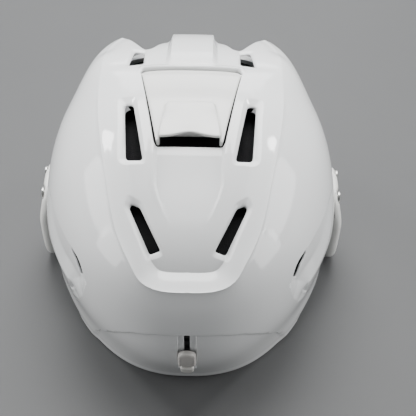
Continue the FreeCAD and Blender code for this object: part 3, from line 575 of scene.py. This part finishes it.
def build_rear():
    curve = curve_through([(84, 156), (80, 138), (68, 118), (54, 98), (42, 80), (35, 69), (26, 64.5), (10, 65.5), (-6, 64), (-18, 57),
                           (-27, 45), (-33, 30), (-37, 17), (-44, 8.5), (-57, 3.4), (-80, 0.6), (-104, 0.0)], 0.8)
    side = pq_of_yz(curve[:, 0], curve[:, 1])
    side3 = dome(side)
    keep_ = side3[:, 0] > 38.0
    start = np.argmax(keep_)
    side, side3 = side[start:], side3[start:]
    # rim at floor height from the last point to the mid-plane
    last = side3[-1]
    y_mid = -107.55
    ys = np.linspace(curve[-1, 0], y_mid, 30)
    rim = pq_of_yz(ys, np.zeros(30))
    rim = rim[rim[:, 0] > 0.5]
    tip = [(0, 88.0), (8, 88.0), (16.5, 86.5), (19.5, 80.0), (24, 75.0), (29.5, 61.0), (33.0, 60.0), (38, 68.5), (42.0, 77.0), (45.5, 84.5), (49.0, 90.0), (53.0, 91.0)]
    tip = curve_through(tip, 1.0)
    front = pq_of_xs(tip[:, 0], arc_at_y(tip[:, 0], tip[:, 1]))
    side = side[np.abs(side3[:, 0]) > 56.5]
    half = np.vstack([front, side, rim[1:]])
    end = np.array([[0.0, float(arc_of(math.pi + 0.33))]])
    end[0, 1] = np.interp(0.0, (Z0 + _r * np.sin(_f))[-500:][::-1], _l[-500:][::-1])
    loop = np.vstack([half, end, (half[1:] * [-1, 1])[::-1]])
    loop = soften(spaced(loop, dome, 0.8), 8)
    v = dome(loop)
    tips = ((np.abs(v[:, 0]) > 42) & (np.abs(v[:, 0]) < 66) & (loop[:, 1] < -50))[:, None]
    for _ in range(160):
        loop = np.where(tips, soften(loop, 1), loop)
    loop = spaced(loop, dome, 1.1)
    holes, lines = [], []
    for hole, pocket, _d in VENTS:
        for sg in (1, -1):
            h = pq_of_xs(hole[:, 0], hole[:, 1]) * [sg, 1]
            k = pq_of_xs(pocket[:, 0], pocket[:, 1]) * [sg, 1]
            holes.append(h)
            lines.append(np.vstack([k, k[:1]]))
            for o in (0.7, -0.7):
                kk = parallel(np.vstack([k, k[:1]]), o)
                lines.append(kk)
    sa, sb = -13.0, 57.0
    lev = rounded([(-34.0, sa), (34.0, sa), (21.7, sb), (-21.7, sb)], [4.5, 4.5, 2.5, 2.5], 0.9)
    holes.append(pq_of_xs(lev[:, 0], lev[:, 1]))
    sl = rounded([(-1.8, 186.0), (1.8, 186.0), (1.8, 219), (-1.8, 219)], 0.6, 0.6)
    holes.append(pq_of_xs(sl[:, 0], sl[:, 1]))
    slit = rounded(SLIT, 0.8, 0.6)
    for sg in (1, -1):
        holes.append(pq_of_yz(slit[:, 0], slit[:, 1]) * [sg, 1])
    for y, z in ((22.0, 73.5), (2.0, 72.0)):
        a = np.linspace(0, 2 * math.pi, 20, endpoint=False)
        for sg in (1, -1):
            holes.append(pq_of_yz(y + 2.1 * np.cos(a), z + 2.1 * np.sin(a)) * [sg, 1])
    # feature lines
    for ln in (CREST_L, VALLEY_L):
        for o in (0.0, 0.8, -0.8, 2.0, -2.0):
            k = parallel(ln, o)
            k = k[(k[:, 0] > 0.4) & (k[:, 1] > -96)]
            lines += mirrored([pq_of_xs(k[:, 0], k[:, 1])])
    s = np.arange(54, 108, 1.4)
    for o in (3.4, 2.4, 1.5, 0.7, 0.0, -0.8):
        lines += mirrored([pq_of_xs(EDGE(s) + o, s)])
    s = np.arange(-60, -14, 1.5)
    for x in (17.5, 15.75, 14.0):
        lines += mirrored([pq_of_xs(np.full(len(s), x), s)])
    x = np.arange(0, 66, 1.5)
    for o in (-0.8, 0.0, 0.8, 1.6):
        k = pq_of_xs(x, STEP(x) + o)
        lines += mirrored([k[1:]])
    pk = rounded([(-5.9, 185.2), (5.9, 185.2), (5.9, 246), (-5.9, 246)], 1.6, 0.8)
    for o in (0.35, -0.35):
        k = parallel(np.vstack([pk, pk[:1]]), o)
        lines.append(pq_of_xs(k[:, 0], k[:, 1]))
    for ln, offs in ((CH_TOP, (0.0, 0.7, -0.7, 1.4, -1.4)), (CH_IN, (0.0, 0.8, -0.8)), (CH_OUT, (0.0, 0.8, -0.8)), (CH_LOW, (0.0,))):
        ln = resample(ln, 1.2)
        for o in offs:
            k = parallel(ln, o)
            lines += mirrored([pq_of_yz(k[:, 0], k[:, 1])])

    def top(q):
        phi, u = phiu(q)
        b = base(phi, u)
        x, s = np.abs(b[:, 0]), q[:, 1]
        h = relief(x, s)
        xs_ = np.c_[x, s]
        top_side = u * 0 + (np.abs(q[:, 0]) < 90)
        for hole, pocket, depth in VENTS:
            h -= vent_dip(xs_, hole, pocket, depth) * top_side
        h -= 1.1 * smooth((s - STEP(x)) / 1.8 + 0.3) * (s > 170) * smooth((72 - x) / 8.0)
        h += 0.7 * smooth((9 - b[:, 2]) / 8.0) * (b[:, 1] < -60)
        pd, _ = far_from(pk, xs_, True)
        sgn = np.where(inside_poly(pk, np.c_[b[:, 0], s]), 1.0, -1.0)
        h -= 1.1 * smooth((pd * sgn + 0.35) / 0.7) * (np.abs(q[:, 0]) < 40)
        h -= side_dip(b[:, 1], b[:, 2]) * (np.abs(b[:, 0]) > 40)
        return h
    def low(q):
        x, s = np.abs(dome(q)[:, 0]), q[:, 1]
        d = np.full(len(q), 99.0)
        for hole, pocket, depth in VENTS:
            d = np.minimum(d, far_from(hole, np.c_[x, s], True)[0])
        qa = np.c_[np.abs(q[:, 0]), s]
        d = np.minimum(d, far_from(pq_of_yz(slit[:, 0], slit[:, 1]), qa, True)[0])
        return top(q) - 1.2 - 1.8 * smooth((d - 0.6) / 6.0)
    return sheet_solid("rear_shell_skin", dome, loop, holes, lines, dome_grid(1.7, phi0=0.5, phi1=3.7), top, low,
                       edge_top=1.0, edge_low=0.3)


# ---------------------------------------------------------------- materials
def node_mat(name):
    mt = bpy.data.materials.new(name)
    mt.use_nodes = True
    nt = mt.node_tree
    return mt, nt, nt.nodes["Principled BSDF"]


def add(nt, kind, **props):
    n = nt.nodes.new(kind)
    for k, v in props.items():
        if k.startswith("in_"):
            key = k[3:]
            n.inputs[int(key) if key.isdigit() else key.replace("_", " ").title() if key.replace("_", " ").title() in n.inputs else key].default_value = v
        else:
            setattr(n, k, v)
    return n


def ramp(nt, stops):
    r = nt.nodes.new("ShaderNodeValToRGB")
    el = r.color_ramp.elements
    while len(el) < len(stops):
        el.new(0.5)
    for e, (pos, col) in zip(el, stops):
        e.position = pos
        e.color = tuple(col) + (1,) if len(col) == 3 else col
    return r


def plastic(name, color, rough=0.16, bump=0.02, scratch=0.0, vary=0.03, coat=0.0, scale=60.0, subsurface=0.0):
    """Moulded plastic: slight mottling, uneven gloss, orange-peel, hairline scuffs."""
    mt, nt, bs = node_mat(name)
    L = nt.links
    co = add(nt, "ShaderNodeTexCoord")
    big = add(nt, "ShaderNodeTexNoise", in_scale=18.0, in_detail=3.0, in_roughness=0.5)
    L.new(co.outputs["Object"], big.inputs["Vector"])
    lo = [max(0, c * (1 - vary)) for c in color]
    hi = [min(1, c * (1 + vary * 0.6)) for c in color]
    cr = ramp(nt, [(0.3, lo), (0.7, hi)])
    L.new(big.outputs["Fac"], cr.inputs["Fac"])
    L.new(cr.outputs["Color"], bs.inputs["Base Color"])
    ro = add(nt, "ShaderNodeTexNoise", in_scale=42.0, in_detail=4.0)
    L.new(co.outputs["Object"], ro.inputs["Vector"])
    rr = add(nt, "ShaderNodeMapRange")
    rr.inputs["To Min"].default_value = rough * 0.82
    rr.inputs["To Max"].default_value = rough * 1.22
    L.new(ro.outputs["Fac"], rr.inputs["Value"])
    L.new(rr.outputs["Result"], bs.inputs["Roughness"])
    peel = add(nt, "ShaderNodeTexNoise", in_scale=scale, in_detail=2.0)
    L.new(co.outputs["Object"], peel.inputs["Vector"])
    b1 = add(nt, "ShaderNodeBump")
    b1.inputs["Strength"].default_value = bump
    b1.inputs["Distance"].default_value = 0.001
    L.new(peel.outputs["Fac"], b1.inputs["Height"])
    last = b1
    if scratch:
        mp = add(nt, "ShaderNodeMapping")
        mp.inputs["Scale"].default_value = (900.0, 22.0, 60.0)
        mp.inputs["Rotation"].default_value = (0.2, 0.5, 0.7)
        L.new(co.outputs["Object"], mp.inputs["Vector"])
        sn = add(nt, "ShaderNodeTexNoise", in_scale=1.0, in_detail=6.0)
        L.new(mp.outputs["Vector"], sn.inputs["Vector"])
        sr = ramp(nt, [(0.60, (0, 0, 0)), (0.72, (1, 1, 1))])
        L.new(sn.outputs["Fac"], sr.inputs["Fac"])
        b2 = add(nt, "ShaderNodeBump")
        b2.inputs["Strength"].default_value = scratch
        b2.inputs["Distance"].default_value = 0.0002
        b2.invert = True
        L.new(sr.outputs["Color"], b2.inputs["Height"])
        L.new(b1.outputs["Normal"], b2.inputs["Normal"])
        last = b2
    L.new(last.outputs["Normal"], bs.inputs["Normal"])
    bs.inputs["IOR"].default_value = 1.5
    if coat:
        bs.inputs["Coat Weight"].default_value = coat
        bs.inputs["Coat Roughness"].default_value = 0.05
    if subsurface:
        bs.inputs["Subsurface Weight"].default_value = subsurface
        bs.inputs["Subsurface Scale"].default_value = 0.002
        bs.inputs["Subsurface Radius"].default_value = (1.0, 0.95, 0.9)
    return mt


M_SHELL = plastic("shell_white", (0.80, 0.81, 0.81), rough=0.07, bump=0.012, scratch=0.05, vary=0.02)
M_LEVER = plastic("lever_white", (0.75, 0.75, 0.73), rough=0.15, bump=0.015, scratch=0.05, vary=0.02)
M_GUARD = plastic("guard_white", (0.80, 0.80, 0.775), rough=0.2, bump=0.02, vary=0.03, subsurface=0.15)
M_TAB = plastic("adjuster_grey", (0.52, 0.50, 0.475), rough=0.34, bump=0.03, vary=0.05)
M_TAB2 = plastic("adjuster_light", (0.70, 0.69, 0.65), rough=0.34, bump=0.03, vary=0.05)
M_NYLON = plastic("nylon_black", (0.022, 0.022, 0.024), rough=0.42, bump=0.08, vary=0.25, scale=400)
M_FOAM = plastic("foam_black", (0.011, 0.011, 0.012), rough=0.9, bump=0.4, vary=0.4, scale=900)
M_WEB = plastic("webbing_black", (0.02, 0.02, 0.021), rough=0.7, bump=0.3, vary=0.3, scale=900)
M_CUP = plastic("cup_clear", (0.62, 0.63, 0.62), rough=0.3, bump=0.05, vary=0.05)


def metal(name, color, rough):
    mt, nt, bs = node_mat(name)
    L = nt.links
    co = add(nt, "ShaderNodeTexCoord")
    n = add(nt, "ShaderNodeTexNoise", in_scale=260.0, in_detail=5.0)
    L.new(co.outputs["Object"], n.inputs["Vector"])
    cr = ramp(nt, [(0.3, [c * 0.8 for c in color]), (0.75, color)])
    L.new(n.outputs["Fac"], cr.inputs["Fac"])
    L.new(cr.outputs["Color"], bs.inputs["Base Color"])
    rr = add(nt, "ShaderNodeMapRange")
    rr.inputs["To Min"].default_value = rough * 0.7
    rr.inputs["To Max"].default_value = rough * 1.4
    L.new(n.outputs["Fac"], rr.inputs["Value"])
    L.new(rr.outputs["Result"], bs.inputs["Roughness"])
    b = add(nt, "ShaderNodeBump")
    b.inputs["Strength"].default_value = 0.1
    b.inputs["Distance"].default_value = 0.0002
    L.new(n.outputs["Fac"], b.inputs["Height"])
    L.new(b.outputs["Normal"], bs.inputs["Normal"])
    bs.inputs["Metallic"].default_value = 1.0
    return mt


M_STEEL = metal("plated_steel", (0.62, 0.62, 0.60), 0.28)


def paint(ob, mat):
    ob.data.materials.clear()
    ob.data.materials.append(mat)
    return ob


def stand_for(ob, body, nodes, mat):
    paint(ob, mat)
    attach(ob, body)
    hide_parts(*nodes)
    return ob


for m_ in (M_FOAM, M_WEB):
    m_.node_tree.nodes["Principled BSDF"].inputs["Specular IOR Level"].default_value = 0.25

# ---------------------------------------------------------------- lever, guards, adjuster
LW = interp([(-12, 33.5), (55.5, 19.8)])
LIP = lambda x: 54.3 - 3.6 * np.exp(-(x / 9.0) ** 2) - 0.3 * (np.abs(x) / 18.0) ** 2


TAB = [(-15.0, 24.6), (-16.2, 32), (-17.8, 42), (-18.9, 52.4), (18.9, 52.4), (17.8, 42), (16.2, 32), (15.0, 24.6)]
TAB_LINE = rounded(TAB, [3.0, 2, 2, 1, 1, 2, 2, 3.0], 0.8)


def lever_top(x, s):
    h = 1.55 + 0.35 * (1 - (x / 33.0) ** 2) - 1.9 * smooth((-2 - s) / 9.0)
    d, _ = far_from(TAB_LINE, np.c_[x, s], True)
    return h - 0.55 * np.exp(-(d / 0.85) ** 2)


def build_lever():
    o = rounded([(-33.6, -11.8), (33.6, -11.8), (20.5, 55.8), (18.6, 55.8), (18.6, 49.0), (-18.6, 49.0), (-18.6, 55.8), (-20.5, 55.8)],
                [5.0, 5.0, 1.0, 1.0, 1.2, 1.2, 1.0, 1.0], 0.8)
    loop = spaced(pq_of_xs(o[:, 0], o[:, 1]), dome, 1.0)
    lines = []
    for k in (0.0, 0.8, 1.6):
        ln = parallel(np.vstack([TAB_LINE, TAB_LINE[:1]]), -k)
        lines.append(pq_of_xs(ln[:, 0], ln[:, 1])[ln[:, 1] < 47])
        ln = parallel(np.vstack([TAB_LINE, TAB_LINE[:1]]), k)
        lines.append(pq_of_xs(ln[:, 0], ln[:, 1])[ln[:, 1] < 47])
    g = dome_grid(1.7, a_max=0.35, phi0=0.9, phi1=2.2)

    def xsf(q):
        return dome(q)[:, 0], q[:, 1]
    return sheet_solid("lever_plate_skin", dome, loop, [], lines, g, lambda q: lever_top(*xsf(q)), lambda q: lever_top(*xsf(q)) * 0 - 2.0 - 1.6 * smooth((q[:, 1] - 42) / 4.0), edge_top=1.1, edge_low=0.4)


def build_tab():
    left = [(-15.0, 24.6), (-16.2, 32), (-17.8, 42), (-18.9, 52.4)]
    x = np.linspace(-18.4, 18.4, 40)
    lip = np.c_[x, LIP(x)]
    poly = left + [tuple(v) for v in lip] + [(-a, b) for a, b in left[::-1]]
    o = rounded(poly, [3.0, 2, 2, 1.6] + [0.3] * 40 + [1.6, 2, 2, 3.0], 0.8)
    loop = spaced(pq_of_xs(o[:, 0], o[:, 1]), dome, 0.9)

    def top(q):
        x, s = dome(q)[:, 0], q[:, 1]
        dish = 0.9 * np.exp(-((s - 44) / 7.0) ** 2) * np.exp(-(x / 11.0) ** 2)
        return 2.55 + 0.25 * (1 - (x / 20.0) ** 2) + 2.3 * smooth((s - 27) / 27.0) - dish
    g = dome_grid(1.3, a_max=0.22, phi0=0.9, phi1=2.2)
    x = np.linspace(-17, 17, 30)
    return sheet_solid("lever_tab_skin", dome, loop, [], [pq_of_xs(x, LIP(x) - k) for k in (2.2, 3.4)], g, top, lambda q: top(q) * 0 + 1.62 + 1.2 * smooth((q[:, 1] - 44) / 8.0), edge_top=0.9, edge_low=0.5)


GO = curve_through([(-9, 40), (-8.2, 25), (-4.6, 11), (3, 2.6), (14, 0.4), (24, 3.8), (32, 15), (36, 34), (36, 52), (33, 66), (28, 76.5), (18, 80), (5, 79.4), (-4.6, 74.4), (-8.4, 60), (-9, 40)], 1.0)[:-1]


def guard_x(z):
    return 112.7 - 5.0 * smooth((z - 46) / 34.0)


def build_guard(name, sg):
    def place(q, h):
        y, z = q[:, 0], q[:, 1]
        return np.stack([sg * (guard_x(z) - 0.0011 * (y - 12) ** 2 + h), y, z], -1)
    loop = GO.copy()
    holes = []
    a = np.linspace(0, 2 * math.pi, 18, endpoint=False)
    for y in (8, 17, 26):
        holes.append(np.c_[y + 2.2 * np.cos(a), 36 + 2.2 * np.sin(a)])
    panel = inset(lambda q: np.c_[q, np.zeros(len(q))], loop, 8.5, area_sign(loop))
    panel = soften(panel, 6)
    lines = [np.vstack([panel, panel[:1]])]
    for k in (0.8, -0.8):
        lines.append(parallel(np.vstack([panel, panel[:1]]), k))
    gy, gz = np.meshgrid(np.arange(-12, 40, 1.7), np.arange(-2, 84, 1.7))
    grid = np.c_[gy.ravel() + 0.01, gz.ravel()]
    rim_y = interp([(-33, 30), (-27, 45), (-18, 57), (-6, 64), (10, 65.5), (26, 64.5), (35, 69), (42, 80)])

    def top(q):
        d, _ = far_from(panel, q, True)
        d = np.where(inside_poly(panel, q), d, -d)
        ribs = 0.35 * np.exp(-((q[:, 1] - 24) / 1.0) ** 2) + 0.35 * np.exp(-((q[:, 1] - 50) / 1.0) ** 2)
        seat = np.zeros(len(q))
        for y, z in ((22.0, 73.5), (2.0, 72.0)):
            seat = np.maximum(seat, smooth((6.2 - np.hypot(q[:, 0] - y, q[:, 1] - z)) / 0.8))
        return (-0.7 * smooth(d / 1.6 + 0.5) + ribs * smooth(d / 3.0)) * (1 - seat) - 0.9 * seat

    def low(q):
        d, _ = far_from(loop, q, True)
        gx = guard_x(q[:, 1]) - 0.0011 * (q[:, 0] - 12) ** 2
        sx = np.abs(dome(pq_of_yz(q[:, 0], q[:, 1]))[:, 0])
        near = q[:, 1] > rim_y(q[:, 0]) - 3.0
        room = np.where(near, np.maximum(gx - sx - 0.7, 3.4), 8.2)
        rim = np.minimum(8.2, room)
        flat = 3.3
        return -(flat + (rim - flat) * (1 - smooth((d - 2.6) / 1.0)))
    return sheet_solid(name, place, loop, holes, lines, grid, top, low, edge_top=4.4, edge_low=0.8)


def build_button():
    a = np.linspace(0, math.pi, 15)
    arch = [(-5.7 * math.cos(t), 207.2 - 5.6 * math.sin(t)) for t in a]
    o = rounded(arch + [(5.7, 219.6), (-5.7, 219.6)], [0.2] * 15 + [1.6, 1.6], 0.5)

    def top(q):
        x, s = dome(q)[:, 0], q[:, 1]
        bead = 0.45 * (np.exp(-((np.abs(x) - 4.7) / 0.6) ** 2))
        return 4.3 - 0.03 * x * x - 0.012 * (s - 213) ** 2 + bead
    g = dome_grid(0.8, a_max=0.07, phi0=2.6, phi1=3.5)
    return sheet_solid("adjuster_button_skin", dome, spaced(pq_of_xs(o[:, 0], o[:, 1]), dome, 0.5), [], [], g, top, lambda q: top(q) * 0 - 0.5, edge_top=1.2, edge_low=0.3, keep=0.4)


def build_tab2():
    o = rounded([(-4.4, 220.0), (4.4, 220.0), (4.2, 236.5), (-4.2, 236.5)], [1.9, 1.9, 1.3, 1.3], 0.5)

    def top(q):
        x, s = dome(q)[:, 0], q[:, 1]
        return 4.9 - 0.03 * x * x - 0.09 * np.maximum(0, s - 222)
    g = dome_grid(0.8, a_max=0.06, phi0=2.6, phi1=3.7)
    return sheet_solid("adjuster_tab_skin", dome, spaced(pq_of_xs(o[:, 0], o[:, 1]), dome, 0.5), [], [], g, top, lambda q: top(q) * 0 + 0.3, edge_top=1.3, edge_low=0.3, keep=0.4)


# ---------------------------------------------------------------- foam liner
WELLS = [(-1, 64.0, 100.0), (1, 64.0, 100.0), (-1, 92.0, 100.0), (1, 92.0, 100.0)]


def foam_block(name, p0, p1, s0, s1, outer, inner, radius=7.0, grooves=(), r_out=3.2, r_in=5.5, wells=()):
    """Die-cut foam block following the dome, with rounded edges and pressed channels on the wearer's side."""
    o = rounded([(p0, s0), (p1, s0), (p1, s1), (p0, s1)], radius, 1.0)
    loop = spaced(o, dome, 1.8)
    gx, gy = np.meshgrid(np.arange(p0, p1, 2.6), np.arange(s0, s1, 2.6))
    grid = np.c_[gx.ravel() + 1.3, gy.ravel() + 1.3]
    lines = []
    for a, b in grooves:
        a, b = np.asarray(a, float), np.asarray(b, float)
        n = max(3, int(np.hypot(*(b - a)) / 2.4))
        t = np.linspace(0.0, 1.0, n)[:, None]
        l_ = a + (b - a) * t
        lines += [l_, parallel(l_, 1.3), parallel(l_, -1.3)]

    def top(q):
        h = np.full(len(q), -float(outer))
        for w in wells:
            v = dome(q)
            h -= 8.5 * smooth((8.0 - np.linalg.norm(v - w, axis=1)) / 1.5)
        return h

    def low(q):
        h = np.full(len(q), -float(inner))
        for a, b in grooves:
            d, _ = far_from([a, b], q)
            h += 2.4 * np.exp(-(d / 1.5) ** 2)
        d, _ = far_from(loop, q, True)
        return h + 0.9 * (1 - smooth(d / 14.0))
    ob = sheet_solid(name, dome, loop, [], lines, grid, top, low, edge_top=r_out, edge_low=r_in, sharp=60)
    return ob


def pad(node, body, phi0, phi1, u0, u1, outer, inner, grooves, **kw):
    u0, u1 = min(u0, u1), max(u0, u1)
    p0, p1 = K * math.asin(u0), K * math.asin(u1)
    s1, s0 = float(arc_of(phi1)), float(arc_of(phi0))
    s0, s1 = min(s0, s1), max(s0, s1)
    gr = [((p0 + (p1 - p0) * a, s0 + (s1 - s0) * b), (p0 + (p1 - p0) * c, s0 + (s1 - s0) * d)) for a, b, c, d in grooves]
    ob = foam_block(node + "_block", p0, p1, s0, s1, outer, inner, grooves=gr, **kw)
    stand_for(ob, body, [node], M_FOAM)
    return ob


# ---------------------------------------------------------------- assembly
rear = stand_for(build_rear(), "rear", ["rear_shell"], M_SHELL)
stand_for(build_lever(), "lever", ["lever_plate"], M_LEVER)
stand_for(build_tab(), "lever", ["lever_thumb_tab"], M_LEVER)
stand_for(build_guard("ear_guard_left_skin", -1), "rear", ["ear_guard_left"], M_GUARD)
stand_for(build_guard("ear_guard_right_skin", 1), "rear", ["ear_guard_right"], M_GUARD)
stand_for(build_button(), "adjuster", ["adjuster_button"], M_TAB)
stand_for(build_tab2(), "adjuster", ["adjuster_tab"], M_TAB2)

PO, PD, SD = 11.2, 15.5, 13.5
cross_ = [(0.5, 0.12, 0.5, 0.88), (0.14, 0.5, 0.86, 0.5)]
bars = [(0.12, 0.35, 0.88, 0.35), (0.12, 0.68, 0.88, 0.68)]
wl = [dome(pq_of_yz(y, z, sg)[None] if False else np.array([pq_of_yz(y, z, sg)]))[0] for sg, y, z in WELLS]
wf = [dome(np.array([pq_of_xs(sg * 44.0, -128.0)]))[0] for sg in (-1, 1)]
wells = wl + wf
for tag, sg in (("left", -1), ("right", 1)):
    pad("forehead_pad_" + tag, "front", 0.30, 0.78, sg * 0.30, sg * 0.64, PO, PD + PO, cross_, wells=wells)
    pad("temple_pad_" + tag, "front", 0.45, 1.02, sg * 0.70, sg * 0.90, PO, SD + PO, bars, wells=wells)
    pad("rear_pad_" + tag, "rear", 2.20, 2.62, sg * 0.10, sg * 0.60, PO, PD + PO, cross_)
    pad("side_pad_" + tag, "rear", 2.00, 2.80, sg * 0.636, sg * 0.90, PO, SD + PO, bars)
pad("forehead_pad_center", "front", 0.30, 0.78, -0.24, 0.24, PO, PD + PO, cross_)
pad("crown_pad_front", "front", 0.90, 1.58, -0.47, 0.47, PO, PD + PO, cross_)
pad("crown_pad_rear", "rear", 1.652, 2.12, -0.46, 0.46, PO + 1.7, PD + PO, bars[:1])
pad("forehead_comfort_band", "front", 0.31, 0.50, -0.56, 0.56, PO + PD + 0.3, PO + PD + 4.3, [], radius=5.0, r_out=1.2, r_in=2.2)
for tag, x0, x1 in (("left", -36.0, -3.0), ("right", 3.0, 36.0)):
    node = "occipital_pad_" + tag
    q0, q1 = pq_of_xs(x0, 218.0)[0], pq_of_xs(x1, 218.0)[0]
    ob = foam_block(node + "_block", float(q0), float(q1), 199.0, 238.0, 6.85, 13.6, radius=5.0, r_out=1.4, r_in=3.0,
                    grooves=[((float(q0) + 6, 218.5), (float(q1) - 6, 218.5))])
    stand_for(ob, "adjuster", [node], M_FOAM)

# the front shell is trimmed behind the crown vents
src = NODES["front_shell"]
fs = bpy.data.objects.new("front_shell_skin", src.data.copy())
bpy.context.scene.collection.objects.link(fs)
for sg in (-1, 1):
    xa, xb = sorted((sg * 24.5, sg * 51.0))
    vs = [(x, y, z) for x in (xa, xb) for y in (-60.0, 62.0) for z in (118.0, 182.0)]
    fc = [(0, 1, 3, 2), (4, 6, 7, 5), (0, 4, 5, 1), (2, 3, 7, 6), (0, 2, 6, 4), (1, 5, 7, 3)]
    me_ = bpy.data.meshes.new("trim")
    me_.from_pydata([tuple(c * MM for c in v) for v in vs], [], fc)
    me_.update()
    cut = bpy.data.objects.new("trim", me_)
    bpy.context.scene.collection.objects.link(cut)
    md = fs.modifiers.new("trim", "BOOLEAN")
    md.operation, md.object, md.solver = "DIFFERENCE", cut, "EXACT"
    bpy.context.view_layer.update()
    done = bpy.data.meshes.new_from_object(fs.evaluated_get(bpy.context.evaluated_depsgraph_get()))
    fs.modifiers.clear()
    fs.data = done
    bpy.data.objects.remove(cut)
fs.data.shade_smooth()
mark_sharp(fs.data, 30)
stand_for(fs, "front", ["front_shell"], M_SHELL)

# carried-over construction parts
LOOK = {"lever_pin": M_STEEL, "ear_guard_screws": M_STEEL, "ear_guard_nuts": M_STEEL, "visor_inserts": M_STEEL, "cage_inserts": M_STEEL,
        "strap_studs": M_STEEL, "chin_cup": M_CUP, "strap_left": M_WEB, "strap_right": M_WEB}
for nm, ob in NODES.items():
    if ob.hide_render:
        continue
    ob.data.materials.clear()
    ob.data.materials.append(LOOK.get(nm, M_NYLON))
    if nm.startswith("strap_l") or nm.startswith("strap_r"):
        width = 0.25
    elif nm == "chin_cup":
        width = 0.6
    else:
        width = 0.3
    bv = ob.modifiers.new("edges", "BEVEL")
    bv.width, bv.segments, bv.limit_method, bv.angle_limit = width * MM, 2, "ANGLE", math.radians(35)
    bv.use_clamp_overlap = True

# ---------------------------------------------------------------- floor and light
fm, fnt, fbs = node_mat("floor_grey")
co = add(fnt, "ShaderNodeTexCoord")
nz = add(fnt, "ShaderNodeTexNoise", in_scale=3.0, in_detail=4.0)
fnt.links.new(co.outputs["Object"], nz.inputs["Vector"])
fr = ramp(fnt, [(0.3, (0.076, 0.077, 0.079)), (0.7, (0.086, 0.087, 0.088))])
fnt.links.new(nz.outputs["Fac"], fr.inputs["Fac"])
fnt.links.new(fr.outputs["Color"], fbs.inputs["Base Color"])
fbs.inputs["Roughness"].default_value = 0.6
me = bpy.data.meshes.new("floor")
me.from_pydata([(-3, -3, 0), (3, -3, 0), (3, 3, 0), (-3, 3, 0)], [], [(0, 1, 2, 3)])
floor = bpy.data.objects.new("floor", me)
floor.location.z = -0.0004
bpy.context.scene.collection.objects.link(floor)
floor.data.materials.append(fm)

world = bpy.data.worlds.new("studio")
bpy.context.scene.world = world
world.use_nodes = True
wb = world.node_tree.nodes["Background"]
wb.inputs["Color"].default_value = (0.95, 0.98, 1.0, 1)
wb.inputs["Strength"].default_value = 0.21


def area(name, loc, look, size, power, color=(1, 1, 1), size_y=None, spread=None):
    d = bpy.data.lights.new(name, "AREA")
    d.energy = power
    d.color = color
    d.shape = "RECTANGLE"
    d.size = size
    d.size_y = size_y or size
    if spread:
        d.spread = math.radians(spread)
    o = bpy.data.objects.new(name, d)
    bpy.context.scene.collection.objects.link(o)
    o.location = loc
    o.rotation_mode = "QUATERNION"
    o.rotation_quaternion = (Vector(look) - Vector(loc)).to_track_quat("-Z", "Y")
    return o


area("overhead", (0.0, 0.5, 1.35), (0, 0, 0.1), 1.0, 36.0, (1.0, 1.0, 1.0), 1.1)
area("front", (0.0, 1.7, 0.95), (0, 0, 0.1), 1.5, 17.0, (0.97, 0.99, 1.0), 0.8)
area("side_left", (-1.45, 0.05, 0.65), (0, 0, 0.08), 0.9, 15.0, (1.0, 1.0, 1.0), 1.0)
area("side_right", (1.45, 0.05, 0.65), (0, 0, 0.08), 0.9, 15.0, (1.0, 1.0, 1.0), 1.0)


def window(name, at_, way, dist, w, h, power):
    loc = Vector(at_) * MM + Vector(way) * dist
    return area(name, loc, Vector(at_) * MM, w, power, (1, 1, 1), h)


window("window_left", (-47.4, -42.6, 168.6), (-0.655, 0.391, 0.646), 1.25, 0.20, 0.34, 7.0)
window("window_right", (48.5, -42.0, 168.4), (0.655, 0.391, 0.646), 1.25, 0.13, 0.34, 5.5)
area("rear_left", (-1.3, -0.5, 0.15), (-0.1, 0, 0.05), 0.5, 3.0, (1, 1, 1), 0.35)
area("rear_right", (1.3, -0.5, 0.15), (0.1, 0, 0.05), 0.5, 3.0, (1, 1, 1), 0.35)
